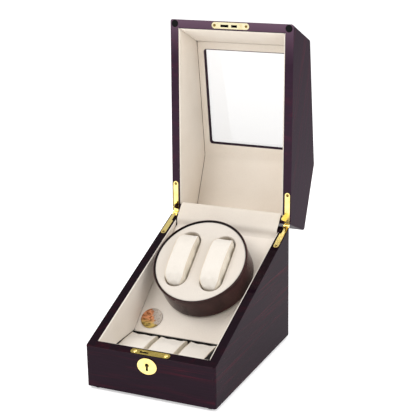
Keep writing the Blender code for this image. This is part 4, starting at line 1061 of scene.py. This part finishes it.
def add_piping(mesh, seams):
    """Corded seams: a thin tube along the edge between the band and each gusset."""
    body = bmesh.new()
    body.from_mesh(mesh)
    for seam in seams:
        corners, faces = tube_ring(seam, PIPING_RADIUS)
        made = [body.verts.new(c) for c in corners]
        for face in faces:
            new = body.faces.new([made[i] for i in face])
            new.material_index = PIPING
            new.smooth = True
    bmesh.ops.recalc_face_normals(body, faces=body.faces)
    body.to_mesh(mesh)
    body.free()


def pillow_outline():
    """A side view about the pillow's middle: an arched fall to the front and a close round at the back."""
    made = []
    for y, z, long, tall, start in PILLOW_ROUNDS:
        for across, up in arc(0.0, 0.0, 1.0, start, start + 90, PILLOW_STEPS):
            made.append((y + long * across, z + tall * up))
    return made


def add_storage_pillows():
    width, length, height = PILLOW_SIZE
    bottom = FLOOR_TOP + CLEAR + TRAY_WALL + FIT
    front = END_WALL + CLEAR + TRAY_WALL + PILLOW_SPARE
    for label, turn in (("left", -1), ("centre", 0), ("right", 1)):
        place = shift(PILLOW_MIDDLE + turn * PILLOW_PITCH, front + length / 2, bottom + height / 2)
        cushion(f"pillow_{label}", f"storage_pillow_{label}", f"storage_pillow_{label}", BASE @ place,
                pillow_outline(), lambda y: width / 2 + PILLOW_WIDER, PILLOW_SWELL)


def add_winder_cushions():
    width, length, height = CUSHION_SIZE
    outline = []
    for step in range(CUSHION_STEPS):
        angle = 2 * math.pi * step / CUSHION_STEPS
        ways = (math.cos(angle), math.sin(angle))
        reach = [math.copysign(abs(way) ** (2 / CUSHION_SQUARENESS), way) for way in ways]
        outline.append(((length / 2 - CUSHION_INSET) * reach[0], (height / 2 - CUSHION_INSET) * reach[1]))
    straight = length / 2 - CUSHION_CORNER + CUSHION_STRAIGHT

    def half_width(y):
        over = max(0.0, abs(y) - straight)
        rest = math.sqrt(max(0.0, CUSHION_CORNER ** 2 - over ** 2))
        return width / 2 - CUSHION_CORNER + max(rest, CUSHION_END) - CUSHION_NARROWER

    for label, x in (("left", -WELL_X), ("right", WELL_X)):
        place = shift(x, 0, CUSHION_BOTTOM + height / 2)
        cushion(f"cushion_{label}", f"winder_cushion_{label}", f"winder_cushion_{label}", SPIN @ place,
                outline, half_width, CUSHION_SWELL)


# ---------------------------------------------------------------- small hardware

def screw(name, owner, x, along, up, radius, body, finish):
    """A low domed screw head with a cross slot, seated on a plate."""
    steps = (CROSS_HALF - CROSS_SLOPE, CROSS_HALF + CROSS_SLOPE, *SCREW_LINES)
    lines = sorted({sign * step for step in steps for sign in (-1, 1)} | {0.0})
    points = []
    for u in lines:
        for v in lines:
            px = u * math.sqrt(1 - v * v / 2)
            py = v * math.sqrt(1 - u * u / 2)
            dome = DOME_HEIGHT * math.sqrt(max(0.0, 1 - DOME_REACH * (px * px + py * py))) + UNDERSIDE
            in_cross = min(abs(u), abs(v)) < CROSS_HALF and max(abs(u), abs(v)) < CROSS_REACH
            points.append((px, py, dome - (CROSS_DEEP if in_cross else 0.0)))
    size = len(lines)
    faces = [[i * size + j, (i + 1) * size + j, (i + 1) * size + j + 1, i * size + j + 1]
             for i in range(size - 1) for j in range(size - 1)]
    points, faces = closed(points, [(px, py, UNDERSIDE) for px, py, _ in points], faces)
    turn = Matrix.Rotation(SCREW_TURN, 4, "Z") @ Matrix.Scale(radius, 4)
    place = owner @ shift(x, along, 0) @ (turn if up > 0 else tilt(math.pi) @ turn)
    obj = make_object(name, [place @ Vector(p) for p in points], faces, [finish], crisp=35.0)
    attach(obj, body)


def add_plate_screws():
    for label, x in LOCK_SCREWS:
        name = f"lock_plate_screw_{label}"
        screw(name, RIM, x, PLATE_ALONG, 1, LOCK_SCREW_RADIUS, "case", "brass")
    for label, x in STRIKE_SCREWS:
        name = f"strike_plate_screw_{label}"
        screw(name, LID_RIM, x, PLATE_ALONG, -1, STRIKE_SCREW_RADIUS, "lid", "screw_brass")


def add_panel_marks():
    """Raised marks on the control plate: a dial scale, on and off signs and a socket ring."""
    face = DEPTH + FIT + PANEL_THICK
    points = []
    faces = []

    def stamp(mark, turn, x, z):
        flat, cells, _ = triangulate([rounded_rectangle(*mark)], MARK_CELL)
        place = BASE @ shift(x, face, z) @ Matrix.Rotation(turn, 4, "Y")
        layers = [[place @ Vector((u, lift, v)) for u, v in flat.tolist()] for lift in (MARK_HEIGHT, 0.0)]
        corners, solid = closed(*layers, cells)
        faces.extend([[len(points) + i for i in f] for f in solid])
        points.extend(corners)

    for step in range(DIAL_TICKS):
        stamp(DIAL_TICK, math.radians(DIAL_START + DIAL_STEP * step), KNOB_X, PANEL_Z)
    stamp(ON_SIGN, 0.0, 0.0, PANEL_Z + SIGN_RISE)
    for step in range(OFF_DASHES):
        stamp(OFF_DASH, math.radians(360 / OFF_DASHES * step), 0.0, PANEL_Z - SIGN_RISE)
    for step in range(SOCKET_DASHES):
        if step % SOCKET_GAP_EVERY:
            stamp(SOCKET_DASH, math.radians(360 / SOCKET_DASHES * step), -KNOB_X, PANEL_Z)
    obj = make_object("panel_marks", points, faces, ["print"], crisp=30.0)
    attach(obj, "case")


finish_cad_nodes()
add_base_pads()
add_deck_pad()
add_lid_pads()
add_face_pad()
add_flap()
add_storage_pillows()
add_winder_cushions()
add_plate_screws()
add_panel_marks()

add_camera()
add_lights()
add_world()
add_floor()
bpy.context.scene.view_settings.view_transform = "Standard"
